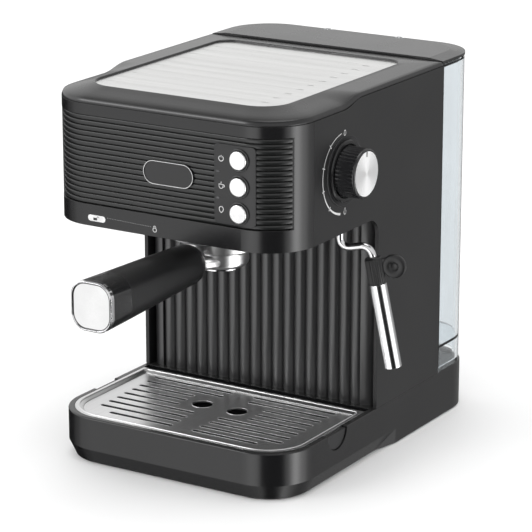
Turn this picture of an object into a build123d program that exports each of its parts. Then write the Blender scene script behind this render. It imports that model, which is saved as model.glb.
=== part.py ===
"""Espresso machine, in millimetres: pump, boiler, bayonet filter holder, steam wand and rear tank.

+X is the machine's right seen from its front, +Y its back, +Z up. The origin is the centre of
the footprint, on the surface that the machine stands on.
"""

import os
from math import cos, radians, sin

from build123d import *

os.makedirs("parts", exist_ok=True)

# ---- driving dimensions: the casing -----------------------------------------------------------
WIDTH = 205.0
DEPTH = 288.0
CORNER_R = 37.0
RIM_Z = 1.0
BASE_TOP_Z = 36.6
HEAD_BOTTOM_Z = 183.2
SEAM_FRONT_Z = 272.0
SEAM_REAR_Z = 276.9
TOP_Z = 282.0
WALL = 3.0
SNUG = 0.3

SIDE_X = WIDTH / 2
PANEL_IN_X = SIDE_X - WALL
FILL_X = PANEL_IN_X - 0.2
FRONT_Y = -DEPTH / 2
REAR_Y = DEPTH / 2
SHELL_END_Y = -107.6
TANK_SEAM_Y = 80.0

# base and drip tray
CHAMFER_TOP_Z = 12.0
CHAMFER_IN = 5.0
FOOT_SEAT_Z = 4.0
BAY_FLOOR_Z = 7.0
BAY_WALL = 4.5
BAY_END_Y = -19.0
HOLLOW_START_Y = -15.0
DECK_T = 3.0
NOTCH_Y = -73.0
NOTCH_R = 14.0
GRID_T = 3.1
SLOT_ROWS = 9
SLOT_PITCH = 10.4
SLOT_W = 4.0
LAST_SLOT_Y = -120.5
DRIP_HOLE_R = 7.7
DRIP_HOLE_X = 15.3

# column
COLUMN_CREST_Y = -14.4
FLUTE_DEPTH = 3.2
FLUTES = 18
FLUTE_PITCH = 9.7
COLUMN_CORNER_R = 12.0
PANEL_FRONT_Y = -16.0
PANEL_CORNER_R = 13.0

# head front
SHELL_T = 4.5
FASCIA_GAP = 0.2
FASCIA_LOW_Z = 199.0
FASCIA_HIGH_Z = 264.0
FASCIA_END_Y = -126.0
RECESS = 3.2
RIB_FOOT = 1.9
RIB_CREST = 0.9
RIBS = 17
RIB_H = 2.3
BUTTON_X = 63.9
BUTTON_ZS = (247.5, 228.7, 209.7)
BUTTON_R = 6.7
BUTTON_HOLE_R = 7.0
BUTTON_TRAVEL = 2.0

# group, boiler and filter holder
GROUP_Y = -69.0
GROUP_LOW_Z = 170.0
GROUP_TOP_Z = 194.0
GROUP_R = 39.5
BOWL_R = 29.0
LUG_R = 34.5
UNLOCK_DEG = -40.0
HANDLE_START_Y = -106.0
HANDLE_BAND_Y = -205.5
HANDLE_RING_Y = -227.0
HANDLE_END_Y = -231.0
HANDLE_Z = 155.4
BOILER_R = 36.0
BOILER_FLANGE_Z = 232.0
BRACKET_T = 2.0

# steam knob and wand
KNOB_Y = -65.5
KNOB_Z = 228.5
KNOB_R = 18.2
KNOB_RING_R = 22.3
KNOB_FACE_X = 120.0
WAND_X = 86.5
WAND_Y = -44.0
WAND_DEG = 17.0
WAND_LEAN = 0.196
PIPE_R = 2.7
GRIP_R = 6.5
SLEEVE_R = 6.4
SLEEVE_BORE_R = 5.7

# water tank
TANK_LOW_Z = 39.8
TANK_FLOOR_Z = 55.0
TANK_TOP_Z = 276.0
TANK_INSET = 1.2
TANK_WALL = 2.2
TANK_FRONT_Y = 83.0
VALVE_Y = 112.0
SOCKET_LOW_Z = 26.0
TANK_PIPE_R = 4.5
LID_LOW_Z = 278.4
LID_PIN_Y = 138.6
LID_PIN_Z = 279.9
LID_PIN_R = 0.9
EAR_X = 32.0
EAR_HALF = 2.0
LID_STEP_X = 78.0
LID_STEP_H = 1.0

# cup-warmer plate
PLATE_X = 79.5
PLATE_FRONT_Y = -124.0
PLATE_REAR_Y = 61.0
PLATE_TOP_Z = 280.3
PLATE_RIBS = 10
PLATE_RIB_PITCH = 15.75
PLATE_FIRST_RIB_Y = -104.6

# fasteners
SCREW_R = 1.6
SCREW_HEAD_R = 3.0
SCREW_HEAD_H = 1.8
SCREW_L = 10.0

group_axis = Axis((0, GROUP_Y, 0), (0, 0, 1))


def write(piece, label):
    """Label a finished piece and write it under its own name."""
    piece.part.label = label
    export_step(piece.part, f"parts/{label}.step")


def footprint(inset, mode=Mode.ADD):
    """The casing's outline, moved in by inset, in the sketch that is open."""
    RectangleRounded(WIDTH - 2 * inset, DEPTH - 2 * inset, CORNER_R - inset, mode=mode)


def keep_between(low_y, high_y, half_x=WIDTH):
    """Trim the open sketch to a band of y, and of x either side of the middle."""
    with Locations((0, (low_y + high_y) / 2)):
        Rectangle(2 * half_x, high_y - low_y, mode=Mode.INTERSECT)


def block(low, high, mode=Mode.ADD):
    """A box between two corners, in the part that is open."""
    size = [high[i] - low[i] for i in range(3)]
    with Locations(tuple((low[i] + high[i]) / 2 for i in range(3))):
        Box(*size, mode=mode)


def rod(start, radius, length, direction, mode=Mode.ADD):
    """A round rod from start along direction, in the part that is open."""
    with BuildSketch(Plane(start, z_dir=direction)) as section:
        Circle(radius)
    extrude(section.sketch, amount=length, mode=mode)


def tube(points, radii, radius):
    """A hose swept along straight runs joined by arcs, in the part that is open."""
    with BuildLine() as route:
        FilletPolyline(*points, radius=radii)
    start = Vector(*points[0])
    with BuildSketch(Plane(start, z_dir=Vector(*points[1]) - start)) as section:
        Circle(radius)
    sweep(section.sketch, path=route.wires()[0])


def wedge(reach, middle_deg, half_deg, mode):
    """A pie slice about the group's axis, in the sketch that is open."""
    with BuildLine() as edge:
        ends = [middle_deg - half_deg, middle_deg, middle_deg + half_deg]
        tips = [(reach * cos(radians(a)), GROUP_Y + reach * sin(radians(a))) for a in ends]
        Polyline((0, GROUP_Y), *tips, close=True)
    make_face(edge.edges(), mode=mode)


# ---- base -------------------------------------------------------------------------------------
GLAND_X = -60.0
GLAND_Z = 18.0
GLAND_R = 6.0
GLAND_BORE_R = 3.6
PUMP_X = -62.0
PUMP_Y = 35.0
BOSSES = [(85, 8), (-85, 8), (85, 70), (-85, 70), (55, 128), (-55, 128)]
BOSS_R = 4.0
PLATE_LIFT = 2.0
PLATE_HOLE_R = SCREW_R + 0.1

with BuildPart() as base_tub:
    with BuildSketch(Plane.XY.offset(CHAMFER_TOP_Z)):
        footprint(0)
    extrude(amount=BASE_TOP_Z - CHAMFER_TOP_Z)
    with BuildSketch(Plane.XY.offset(RIM_Z)):
        footprint(CHAMFER_IN)
    with BuildSketch(Plane.XY.offset(CHAMFER_TOP_Z)):
        footprint(0)
    loft()
    # the rear half stands straight, and its sides run out into the sloping edge
    with BuildSketch(Plane.XY.offset(RIM_Z)):
        footprint(0)
        with BuildLine():
            Polyline(
                (-WIDTH, 14),
                (-SIDE_X, 14),
                (CHAMFER_IN - SIDE_X, -8),
                (SIDE_X - CHAMFER_IN, -8),
                (SIDE_X, 14),
                (WIDTH, 14),
                (WIDTH, DEPTH),
                (-WIDTH, DEPTH),
                close=True,
            )
        make_face(mode=Mode.INTERSECT)
    extrude(amount=CHAMFER_TOP_Z - RIM_Z)
    fillet(base_tub.edges().group_by(Axis.Z)[-1], 1.2)
    # tray bay
    with BuildSketch(Plane.XY.offset(BAY_FLOOR_Z)):
        footprint(BAY_WALL)
        keep_between(FRONT_Y, BAY_END_Y)
    extrude(amount=BASE_TOP_Z, mode=Mode.SUBTRACT)
    # hollows underneath
    with BuildSketch(Plane.XY.offset(RIM_Z)):
        footprint(CHAMFER_IN + 3.5)
        keep_between(FRONT_Y, HOLLOW_START_Y)
    extrude(amount=FOOT_SEAT_Z - RIM_Z, mode=Mode.SUBTRACT)
    with BuildSketch(Plane.XY.offset(RIM_Z)):
        footprint(WALL)
        keep_between(HOLLOW_START_Y, REAR_Y, SIDE_X - CHAMFER_IN - WALL)
    extrude(amount=BASE_TOP_Z - DECK_T - RIM_Z, mode=Mode.SUBTRACT)
    # finger notches, one in each side
    with BuildSketch(Plane.YZ.offset(-WIDTH)):
        with Locations((NOTCH_Y, BASE_TOP_Z)):
            Circle(NOTCH_R)
    extrude(amount=2 * WIDTH, mode=Mode.SUBTRACT)
    # screw bosses under the deck
    with BuildSketch(Plane.XY.offset(FOOT_SEAT_Z + PLATE_LIFT)):
        with Locations(*BOSSES):
            Circle(BOSS_R)
    extrude(amount=BASE_TOP_Z - DECK_T - FOOT_SEAT_Z - PLATE_LIFT)
    with BuildSketch(Plane.XY.offset(FOOT_SEAT_Z)):
        with Locations(*BOSSES):
            Circle(SCREW_R)
    extrude(amount=SCREW_L + 2, mode=Mode.SUBTRACT)
    # hose holes in the deck, and the cord's hole in the rear wall
    rod((0, VALVE_Y, 30), TANK_PIPE_R, 10, (0, 0, 1), Mode.SUBTRACT)
    rod((PUMP_X, PUMP_Y, 30), 4.4, 10, (0, 0, 1), Mode.SUBTRACT)
    rod((GLAND_X, REAR_Y - 10, GLAND_Z), GLAND_R, 20, (0, 1, 0), Mode.SUBTRACT)
write(base_tub, "base_tub")

with BuildPart() as base_plate:
    with BuildSketch(Plane.XY.offset(FOOT_SEAT_Z)):
        footprint(WALL + SNUG)
        keep_between(HOLLOW_START_Y + SNUG, REAR_Y, SIDE_X - CHAMFER_IN - WALL - SNUG)
        with Locations(*BOSSES):
            Circle(PLATE_HOLE_R, mode=Mode.SUBTRACT)
    extrude(amount=PLATE_LIFT)
write(base_plate, "base_plate")

FOOT_R = 9.0
with BuildPart() as rubber_feet:
    with BuildSketch():
        with Locations((75, -112), (-75, -112), (75, 100), (-75, 100)):
            Circle(FOOT_R)
    extrude(amount=FOOT_SEAT_Z)
    chamfer(rubber_feet.edges().group_by(Axis.Z)[0], 0.8)
write(rubber_feet, "rubber_feet")

with BuildPart() as cord_gland:
    rod((GLAND_X, REAR_Y - 6, GLAND_Z), GLAND_R, 6, (0, 1, 0))
    rod((GLAND_X, REAR_Y, GLAND_Z), GLAND_R + 3, 3, (0, 1, 0))
    rod((GLAND_X, REAR_Y - 6, GLAND_Z), GLAND_BORE_R, 9, (0, 1, 0), Mode.SUBTRACT)
write(cord_gland, "cord_gland")

# ---- drip tray and grid -----------------------------------------------------------------------
TRAY_WALL = 1.8
GRID_LOW_Z = BASE_TOP_Z - GRID_T
TRAY_LOW_Z = BAY_FLOOR_Z + SNUG

with BuildPart() as drip_tray:
    with BuildSketch(Plane.XY.offset(TRAY_LOW_Z)):
        footprint(BAY_WALL + SNUG)
        keep_between(FRONT_Y, BAY_END_Y - SNUG)
    extrude(amount=GRID_LOW_Z - SNUG - TRAY_LOW_Z)
    # thumb pads that show in the base's side notches
    with BuildSketch(Plane.YZ.offset(1.2 - SIDE_X)):
        with Locations((NOTCH_Y, BASE_TOP_Z)):
            Circle(NOTCH_R - 0.5)
        with Locations((NOTCH_Y, BASE_TOP_Z + NOTCH_R - SNUG - 1)):
            Rectangle(4 * NOTCH_R, 2 * NOTCH_R, mode=Mode.SUBTRACT)
    extrude(amount=WIDTH - 2.4)
    with BuildSketch(Plane.XY.offset(GRID_LOW_Z - SNUG)):
        footprint(BAY_WALL)
    extrude(amount=GRID_T + 1, mode=Mode.SUBTRACT)
    with BuildSketch(Plane.XY.offset(TRAY_LOW_Z + TRAY_WALL)):
        footprint(BAY_WALL + SNUG + TRAY_WALL)
        keep_between(FRONT_Y, BAY_END_Y - SNUG - TRAY_WALL)
    extrude(amount=BASE_TOP_Z, mode=Mode.SUBTRACT)
write(drip_tray, "drip_tray")

# each slot row runs from near the middle to the side, and stops short beside the drip holes
ROW_ENDS = [64, 79, 79, 79, 79.5, 79.5, 80, 80, 80]
ROW_STARTS = [8.5, 8.5, 9.5, 10.5, 30, 30, 30, 11, 9]

with BuildPart() as drip_grid:
    with BuildSketch(Plane.XY.offset(GRID_LOW_Z)):
        footprint(BAY_WALL + SNUG)
        keep_between(FRONT_Y, BAY_END_Y - 7)
    extrude(amount=GRID_T)
    with BuildSketch(Plane.XY.offset(GRID_LOW_Z + 1.2)):
        footprint(BAY_WALL + SNUG + 3)
        keep_between(FRONT_Y, BAY_END_Y - 10)
    extrude(amount=GRID_T, mode=Mode.SUBTRACT)
    with BuildSketch(Plane.XY.offset(GRID_LOW_Z)):
        for row in range(SLOT_ROWS):
            y = LAST_SLOT_Y + row * SLOT_PITCH
            middle = (ROW_ENDS[row] + ROW_STARTS[row]) / 2
            with Locations((middle, y), (-middle, y)):
                SlotOverall(ROW_ENDS[row] - ROW_STARTS[row], SLOT_W)
        with Locations((DRIP_HOLE_X, GROUP_Y - 1), (-DRIP_HOLE_X, GROUP_Y - 1)):
            Circle(DRIP_HOLE_R)
    extrude(amount=GRID_T, mode=Mode.SUBTRACT)
write(drip_grid, "drip_grid")

# ---- column and side panels -------------------------------------------------------------------
with BuildPart() as column_front:
    with BuildSketch(Plane.XY.offset(BASE_TOP_Z)):
        with BuildLine():
            edge_x = FLUTES * FLUTE_PITCH / 2
            side_y = COLUMN_CREST_Y + COLUMN_CORNER_R
            valley_y = COLUMN_CREST_Y + FLUTE_DEPTH
            Line((-FILL_X, 6), (-FILL_X, side_y))
            RadiusArc((-FILL_X, side_y), (-edge_x, COLUMN_CREST_Y), COLUMN_CORNER_R)
            Line((-edge_x, COLUMN_CREST_Y), (-edge_x, valley_y))
            for flute in range(FLUTES):
                x = flute * FLUTE_PITCH - edge_x
                crest = (x + FLUTE_PITCH / 2, COLUMN_CREST_Y)
                ThreePointArc((x, valley_y), crest, (x + FLUTE_PITCH, valley_y))
            Line((edge_x, valley_y), (edge_x, COLUMN_CREST_Y))
            RadiusArc((edge_x, COLUMN_CREST_Y), (FILL_X, side_y), COLUMN_CORNER_R)
            Polyline(
                (FILL_X, side_y),
                (FILL_X, 6),
                (FILL_X - 2.5, 6),
                (FILL_X - 2.5, side_y + 2),
                (edge_x - 2, valley_y + 3),
                (2 - edge_x, valley_y + 3),
                (2.5 - FILL_X, side_y + 2),
                (2.5 - FILL_X, 6),
                (-FILL_X, 6),
            )
        make_face()
    extrude(amount=HEAD_BOTTOM_Z - BASE_TOP_Z)
write(column_front, "column_front")

KINK_START_Y = -68.0
KINK_END_Y = -41.0


def seam_line():
    """The wavy joint between the sides and the top frame, front to rear, in the open line."""
    Line((SHELL_END_Y, SEAM_FRONT_Z), (KINK_START_Y, SEAM_FRONT_Z))
    Bezier(
        (KINK_START_Y, SEAM_FRONT_Z),
        (KINK_START_Y + 14, SEAM_FRONT_Z),
        (KINK_END_Y - 14, SEAM_REAR_Z),
        (KINK_END_Y, SEAM_REAR_Z),
    )
    Line((KINK_END_Y, SEAM_REAR_Z), (TANK_SEAM_Y, SEAM_REAR_Z))


def side_panel(inner_x):
    """One flat L-shaped side sheet, in the part that is open."""
    with BuildSketch(Plane.YZ.offset(inner_x)) as sheet:
        with BuildLine():
            seam_line()
            Polyline(
                (TANK_SEAM_Y, SEAM_REAR_Z),
                (TANK_SEAM_Y, BASE_TOP_Z),
                (PANEL_FRONT_Y, BASE_TOP_Z),
                (PANEL_FRONT_Y, HEAD_BOTTOM_Z - PANEL_CORNER_R),
            )
            RadiusArc(
                (PANEL_FRONT_Y, HEAD_BOTTOM_Z - PANEL_CORNER_R),
                (PANEL_FRONT_Y - PANEL_CORNER_R, HEAD_BOTTOM_Z),
                -PANEL_CORNER_R,
            )
            Polyline(
                (PANEL_FRONT_Y - PANEL_CORNER_R, HEAD_BOTTOM_Z),
                (SHELL_END_Y, HEAD_BOTTOM_Z),
                (SHELL_END_Y, SEAM_FRONT_Z),
            )
        make_face()
    extrude(sheet.sketch, amount=WALL)


with BuildPart() as side_panel_left:
    side_panel(-SIDE_X)
write(side_panel_left, "side_panel_left")

SPINDLE_R = 3.0
with BuildPart() as side_panel_right:
    side_panel(PANEL_IN_X)
    rod((PANEL_IN_X - 1, KNOB_Y, KNOB_Z), SPINDLE_R + 1, 5, (1, 0, 0), Mode.SUBTRACT)
write(side_panel_right, "side_panel_right")

# ---- head front -------------------------------------------------------------------------------
def button_holes():
    """The three round holes that the buttons pass through, in the part that is open."""
    for hole_z in BUTTON_ZS:
        rod((BUTTON_X, FRONT_Y - 2, hole_z), BUTTON_HOLE_R, 2 + 2 * SHELL_T, (0, 1, 0), Mode.SUBTRACT)


with BuildPart() as head_shell:
    with BuildSketch(Plane.XY.offset(HEAD_BOTTOM_Z)):
        footprint(0)
        footprint(SHELL_T, Mode.SUBTRACT)
        keep_between(FRONT_Y, SHELL_END_Y)
    extrude(amount=SEAM_FRONT_Z - HEAD_BOTTOM_Z)
    with BuildSketch(Plane.XY.offset(FASCIA_LOW_Z)):
        footprint(0)
        footprint(RECESS, Mode.SUBTRACT)
        keep_between(FRONT_Y, FASCIA_END_Y)
    extrude(amount=FASCIA_HIGH_Z - FASCIA_LOW_Z, mode=Mode.SUBTRACT)
    button_holes()
write(head_shell, "head_shell")

with BuildPart() as ribbed_fascia:
    with BuildSketch(Plane.XY.offset(FASCIA_LOW_Z + FASCIA_GAP)):
        footprint(RIB_FOOT)
        footprint(RECESS, Mode.SUBTRACT)
        keep_between(FRONT_Y, FASCIA_END_Y - FASCIA_GAP)
    extrude(amount=FASCIA_HIGH_Z - FASCIA_LOW_Z - 2 * FASCIA_GAP)
    rib_pitch = (FASCIA_HIGH_Z - FASCIA_LOW_Z) / RIBS
    for rib in range(RIBS):
        rib_z = FASCIA_LOW_Z + (rib + 0.5) * rib_pitch - RIB_H / 2
        with BuildSketch(Plane.XY.offset(rib_z)):
            footprint(RIB_CREST)
            footprint(RIB_FOOT + FASCIA_GAP, Mode.SUBTRACT)
            keep_between(FRONT_Y, FASCIA_END_Y - 4 * FASCIA_GAP)
        extrude(amount=RIB_H)
    button_holes()
write(ribbed_fascia, "ribbed_fascia")

PANEL_X = (44.0, 76.5)
PANEL_Z = (201.0, 257.5)
with BuildPart() as control_panel:
    with BuildSketch(Plane.XY.offset(PANEL_Z[0])):
        footprint(0)
        footprint(RIB_CREST, Mode.SUBTRACT)
        with Locations(((PANEL_X[0] + PANEL_X[1]) / 2, FRONT_Y)):
            Rectangle(PANEL_X[1] - PANEL_X[0], 20, mode=Mode.INTERSECT)
    extrude(amount=PANEL_Z[1] - PANEL_Z[0])
    corners = control_panel.edges().filter_by(lambda e: e.length < 2)
    fillet(corners, 3)
    button_holes()
write(control_panel, "control_panel")

BEZEL_R = BUTTON_R + 1.6
BEZEL_T = 0.8
with BuildPart() as button_bezels:
    with BuildSketch(Plane.XZ.offset(-FRONT_Y)):
        with Locations(*[(BUTTON_X, z) for z in BUTTON_ZS]):
            Circle(BEZEL_R)
            Circle(BUTTON_HOLE_R, mode=Mode.SUBTRACT)
    extrude(amount=BEZEL_T)
    chamfer(button_bezels.edges().group_by(Axis.Y)[0], 0.3)
write(button_bezels, "button_bezels")

LENS_X = 47.0
LENS_ZS = (238.0, 219.0)
LENS_T = 0.25
with BuildPart() as indicator_lenses:
    with BuildSketch(Plane.XZ.offset(-FRONT_Y)):
        with Locations(*[(LENS_X, z) for z in LENS_ZS]):
            SlotOverall(3, 1.4)
    extrude(amount=LENS_T)
write(indicator_lenses, "indicator_lenses")

BADGE_AT = (5.7, 230.0)
BADGE_W = 42.0
BADGE_H = 17.6
BADGE_T = 1.1
BADGE_RIM = 1.0
BADGE_SUNK = 0.4
with BuildPart() as badge_plate:
    with BuildSketch(Plane.XZ.offset(-FRONT_Y - RIB_CREST)):
        with Locations(BADGE_AT):
            SlotOverall(BADGE_W, BADGE_H)
    extrude(amount=BADGE_T)
    with BuildSketch(Plane.XZ.offset(-FRONT_Y - RIB_CREST + BADGE_T - BADGE_SUNK)):
        with Locations(BADGE_AT):
            SlotOverall(BADGE_W - 2 * BADGE_RIM, BADGE_H - 2 * BADGE_RIM)
    extrude(amount=BADGE_SUNK, mode=Mode.SUBTRACT)
write(badge_plate, "badge_plate")

# ---- push buttons -----------------------------------------------------------------------------
CAP_Y = FRONT_Y - 2.2
BOARD_Y = -128.0
SWITCH_T = 4.0
SWITCH_HALF = 3.5
FLANGE_Y = FRONT_Y + SHELL_T + 1.4
FLANGE_T = 1.2
FLANGE_R = BUTTON_R + 1.3
STEM_R = 2.0
STEM_START_Y = FLANGE_Y + FLANGE_T
STEM_END_Y = BOARD_Y - SWITCH_T - BUTTON_TRAVEL - SNUG

for name, z in zip(("button_power", "button_coffee", "button_steam"), BUTTON_ZS):
    with BuildPart() as button:
        rod((BUTTON_X, CAP_Y, z), BUTTON_R, FLANGE_Y - CAP_Y, (0, 1, 0))
        fillet(button.edges().group_by(Axis.Y)[0], 0.9)
        rod((BUTTON_X, FLANGE_Y, z), FLANGE_R, FLANGE_T, (0, 1, 0))
        rod((BUTTON_X, STEM_START_Y, z), STEM_R, STEM_END_Y - STEM_START_Y, (0, 1, 0))
    write(button, name)

with BuildPart() as push_switches:
    for z in BUTTON_ZS:
        block(
            (BUTTON_X - SWITCH_HALF, BOARD_Y - SWITCH_T, z - SWITCH_HALF),
            (BUTTON_X + SWITCH_HALF, BOARD_Y, z + SWITCH_HALF),
        )
write(push_switches, "push_switches")

BOARD_T = 1.6
BOARD_BACK_Y = BOARD_Y + BOARD_T
RELAY_T = 10.0
CONNECTOR_T = 6.0
with BuildPart() as control_board:
    block((38, BOARD_Y, 200), (82, BOARD_BACK_Y, 258))
    block((42, BOARD_BACK_Y, 214), (54, BOARD_BACK_Y + RELAY_T, 236))
    block((60, BOARD_BACK_Y, 240), (76, BOARD_BACK_Y + CONNECTOR_T, 252))
write(control_board, "control_board")

# ---- head underside, group and boiler ---------------------------------------------------------
SOCKET_R = 9.0
with BuildPart() as head_underside:
    with BuildSketch(Plane.XY.offset(HEAD_BOTTOM_Z)):
        footprint(SHELL_T + 0.2)
        keep_between(FRONT_Y, SHELL_END_Y)
        with Locations((0, (SHELL_END_Y - 8) / 2)):
            Rectangle(2 * FILL_X, -8 - SHELL_END_Y)
        with Locations((0, GROUP_Y)):
            Circle(GROUP_R + 0.3, mode=Mode.SUBTRACT)
        with Locations((WAND_X, WAND_Y)):
            Circle(SOCKET_R, mode=Mode.SUBTRACT)
    extrude(amount=WALL)
write(head_underside, "head_underside")

BOLT_ANGLES = (45, 135, 225, 315)
GROUP_BOLT_R = 33.0
BOILER_BOLT_R = 39.2


def bolt_circle(radius):
    """The four bolt centres round the group's axis."""
    return [
        (radius * cos(radians(a)), GROUP_Y + radius * sin(radians(a))) for a in BOLT_ANGLES
    ]


CHANNEL_LOW_Z = GROUP_LOW_Z + 3.6
CHANNEL_R = LUG_R + 0.5
CEILING_Z = 182.5
GASKET_T = 2.9
SCREEN_Z = 183.0
SCREEN_R = 26.0
SCREEN_T = 1.2
SCREEN_HOLE_R = 1.2
SCREEN_POCKET_D = 4.5
WATER_R = 3.0
with BuildPart() as group_head:
    with BuildSketch(Plane.XY.offset(GROUP_LOW_Z)):
        with Locations((0, GROUP_Y)):
            Circle(GROUP_R)
    extrude(amount=GROUP_TOP_Z - GROUP_LOW_Z)
    with BuildSketch(Plane.XY.offset(GROUP_LOW_Z)):
        with Locations((0, GROUP_Y)):
            Circle(BOWL_R + 1.2)
    extrude(amount=CEILING_Z - GROUP_LOW_Z, mode=Mode.SUBTRACT)
    with BuildSketch(Plane.XY.offset(CHANNEL_LOW_Z)):
        with Locations((0, GROUP_Y)):
            Circle(CHANNEL_R)
    extrude(amount=CEILING_Z - CHANNEL_LOW_Z, mode=Mode.SUBTRACT)
    # two gaps in the lip let the lugs in when the handle is turned to the left
    for middle in (UNLOCK_DEG, UNLOCK_DEG + 180):
        with BuildSketch(Plane.XY.offset(GROUP_LOW_Z)):
            with Locations((0, GROUP_Y)):
                Circle(CHANNEL_R)
            wedge(2 * LUG_R, middle, 20, Mode.INTERSECT)
        extrude(amount=CHANNEL_LOW_Z - GROUP_LOW_Z, mode=Mode.SUBTRACT)
    with BuildSketch(Plane.XY.offset(CEILING_Z)):
        with Locations((0, GROUP_Y)):
            Circle(SCREEN_R + 0.5)
    extrude(amount=SCREEN_POCKET_D, mode=Mode.SUBTRACT)
    rod((0, GROUP_Y, CEILING_Z), WATER_R, 20, (0, 0, 1), Mode.SUBTRACT)
    with BuildSketch(Plane.XY.offset(GROUP_TOP_Z - SCREW_L + BRACKET_T)):
        with Locations(*bolt_circle(GROUP_BOLT_R)):
            Circle(SCREW_R)
    extrude(amount=SCREW_L, mode=Mode.SUBTRACT)
write(group_head, "group_head")

with BuildPart() as group_gasket:
    with BuildSketch(Plane.XY.offset(CEILING_Z - GASKET_T)):
        with Locations((0, GROUP_Y)):
            Circle(32.5)
            Circle(27.2, mode=Mode.SUBTRACT)
    extrude(amount=GASKET_T)
write(group_gasket, "group_gasket")

with BuildPart() as shower_screen:
    with BuildSketch(Plane.XY.offset(SCREEN_Z)):
        with Locations((0, GROUP_Y)):
            Circle(SCREEN_R)
            with PolarLocations(16, 12):
                Circle(SCREEN_HOLE_R, mode=Mode.SUBTRACT)
            with PolarLocations(9, 6):
                Circle(SCREEN_HOLE_R, mode=Mode.SUBTRACT)
    extrude(amount=SCREEN_T)
    rod((0, GROUP_Y, SCREEN_Z), SCREW_HEAD_R + 0.2, -1.6, (0, 0, 1))
write(shower_screen, "shower_screen")

BRACKET_Z = GROUP_TOP_Z
BRACKET_X = 60.0
BRACKET_YS = (-116.0, -8.0)
with BuildPart() as boiler_bracket:
    with BuildSketch(Plane.XY.offset(BRACKET_Z)):
        with Locations((0, (BRACKET_YS[0] + BRACKET_YS[1]) / 2)):
            Rectangle(2 * BRACKET_X, BRACKET_YS[1] - BRACKET_YS[0])
        with Locations((0, GROUP_Y)):
            Circle(12, mode=Mode.SUBTRACT)
        with Locations(*bolt_circle(GROUP_BOLT_R)):
            Circle(PLATE_HOLE_R, mode=Mode.SUBTRACT)
    extrude(amount=BRACKET_T)
    for side in (-1, 1):
        low_x, high_x = sorted((side * BRACKET_X, side * (BRACKET_X - BRACKET_T)))
        block((low_x, BRACKET_YS[0], HEAD_BOTTOM_Z + WALL), (high_x, BRACKET_YS[1], BRACKET_Z))
write(boiler_bracket, "boiler_bracket")

INLET_Z = 220.0
BOILER_FLOOR_Z = 208.0
BOILER_BORE_R = 31.0
BOILER_FLANGE_R = 42.5
BOILER_LID_Z = BOILER_FLANGE_Z + 4
BOILER_LID_TOP_Z = 252.0
LID_FLANGE_T = 4.0
STEAM_OUTLET_X = 72.0
with BuildPart() as boiler:
    with BuildSketch(Plane.XZ.offset(-GROUP_Y)):
        with BuildLine():
            Polyline(
                (WATER_R, BRACKET_Z),
                (12, BRACKET_Z),
                (12, BRACKET_Z + BRACKET_T),
                (28, BRACKET_Z + BRACKET_T),
                (28, 201),
                (BOILER_R, 203),
                (BOILER_R, BOILER_FLANGE_Z),
                (BOILER_FLANGE_R, BOILER_FLANGE_Z),
                (BOILER_FLANGE_R, BOILER_LID_Z),
                (BOILER_BORE_R, BOILER_LID_Z),
                (BOILER_BORE_R, BOILER_FLOOR_Z),
                (WATER_R, BOILER_FLOOR_Z),
                close=True,
            )
        make_face()
    revolve(axis=group_axis)
    rod((BOILER_R - 2, KNOB_Y, INLET_Z), 4, STEAM_OUTLET_X - BOILER_R + 2, (1, 0, 0))
    rod((2 - BOILER_R, GROUP_Y, INLET_Z), 4, 10, (-1, 0, 0))
    with BuildSketch(Plane.XY.offset(BOILER_FLANGE_Z)):
        with Locations(*bolt_circle(BOILER_BOLT_R)):
            Circle(PLATE_HOLE_R)
    extrude(amount=BOILER_LID_Z - BOILER_FLANGE_Z, mode=Mode.SUBTRACT)
write(boiler, "boiler")

with BuildPart() as boiler_lid:
    with BuildSketch(Plane.XZ.offset(-GROUP_Y)):
        with BuildLine():
            Polyline(
                (0, BOILER_LID_Z),
                (BOILER_FLANGE_R, BOILER_LID_Z),
                (BOILER_FLANGE_R, BOILER_LID_Z + LID_FLANGE_T),
                (BOILER_R, BOILER_LID_Z + LID_FLANGE_T),
                (BOILER_R - 3, BOILER_LID_TOP_Z),
                (0, BOILER_LID_TOP_Z),
                close=True,
            )
        make_face()
    revolve(axis=group_axis)
    with BuildSketch(Plane.XY.offset(BOILER_LID_Z)):
        with Locations(*bolt_circle(BOILER_BOLT_R)):
            Circle(PLATE_HOLE_R)
    extrude(amount=BOILER_LID_TOP_Z - BOILER_LID_Z, mode=Mode.SUBTRACT)
write(boiler_lid, "boiler_lid")

THERMOSTAT_TOP_Z = BOILER_LID_TOP_Z + 6
with BuildPart() as thermostats:
    for x in (-16, 16):
        rod((x, GROUP_Y, BOILER_LID_TOP_Z), 8, THERMOSTAT_TOP_Z - BOILER_LID_TOP_Z, (0, 0, 1))
        block(
            (x - 3, GROUP_Y - 10, THERMOSTAT_TOP_Z),
            (x + 3, GROUP_Y + 10, THERMOSTAT_TOP_Z + 1),
        )
write(thermostats, "thermostats")

with BuildPart() as screws:
    upward = [(x, y, FOOT_SEAT_Z, 1) for x, y in BOSSES]
    group = [(x, y, BRACKET_Z + BRACKET_T, -1) for x, y in bolt_circle(GROUP_BOLT_R)]
    lid_bolts = [
        (x, y, BOILER_LID_Z + LID_FLANGE_T, -1) for x, y in bolt_circle(BOILER_BOLT_R)
    ]
    for x, y, z, way in upward + group + lid_bolts:
        rod((x, y, z), SCREW_R, SCREW_L, (0, 0, way))
        rod((x, y, z), SCREW_HEAD_R, SCREW_HEAD_H, (0, 0, -way))
write(screws, "screws")

# ---- pump and hoses ---------------------------------------------------------------------------
PUMP_R = 17.0
PUMP_LOW_Z = 70.0
PUMP_HIGH_Z = 122.0
PUMP_PORTS_Z = (58.0, 148.0)
MOUNT_ZS = (76.0, 112.0)
MOUNT_T = 4.0
MOUNT_R = PUMP_R + 4
SHELF_HALF = 26.0
BULKHEAD_T = 2.4
HOSE_R = 4.0
HOSE_LOW_Z = 14.0

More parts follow.
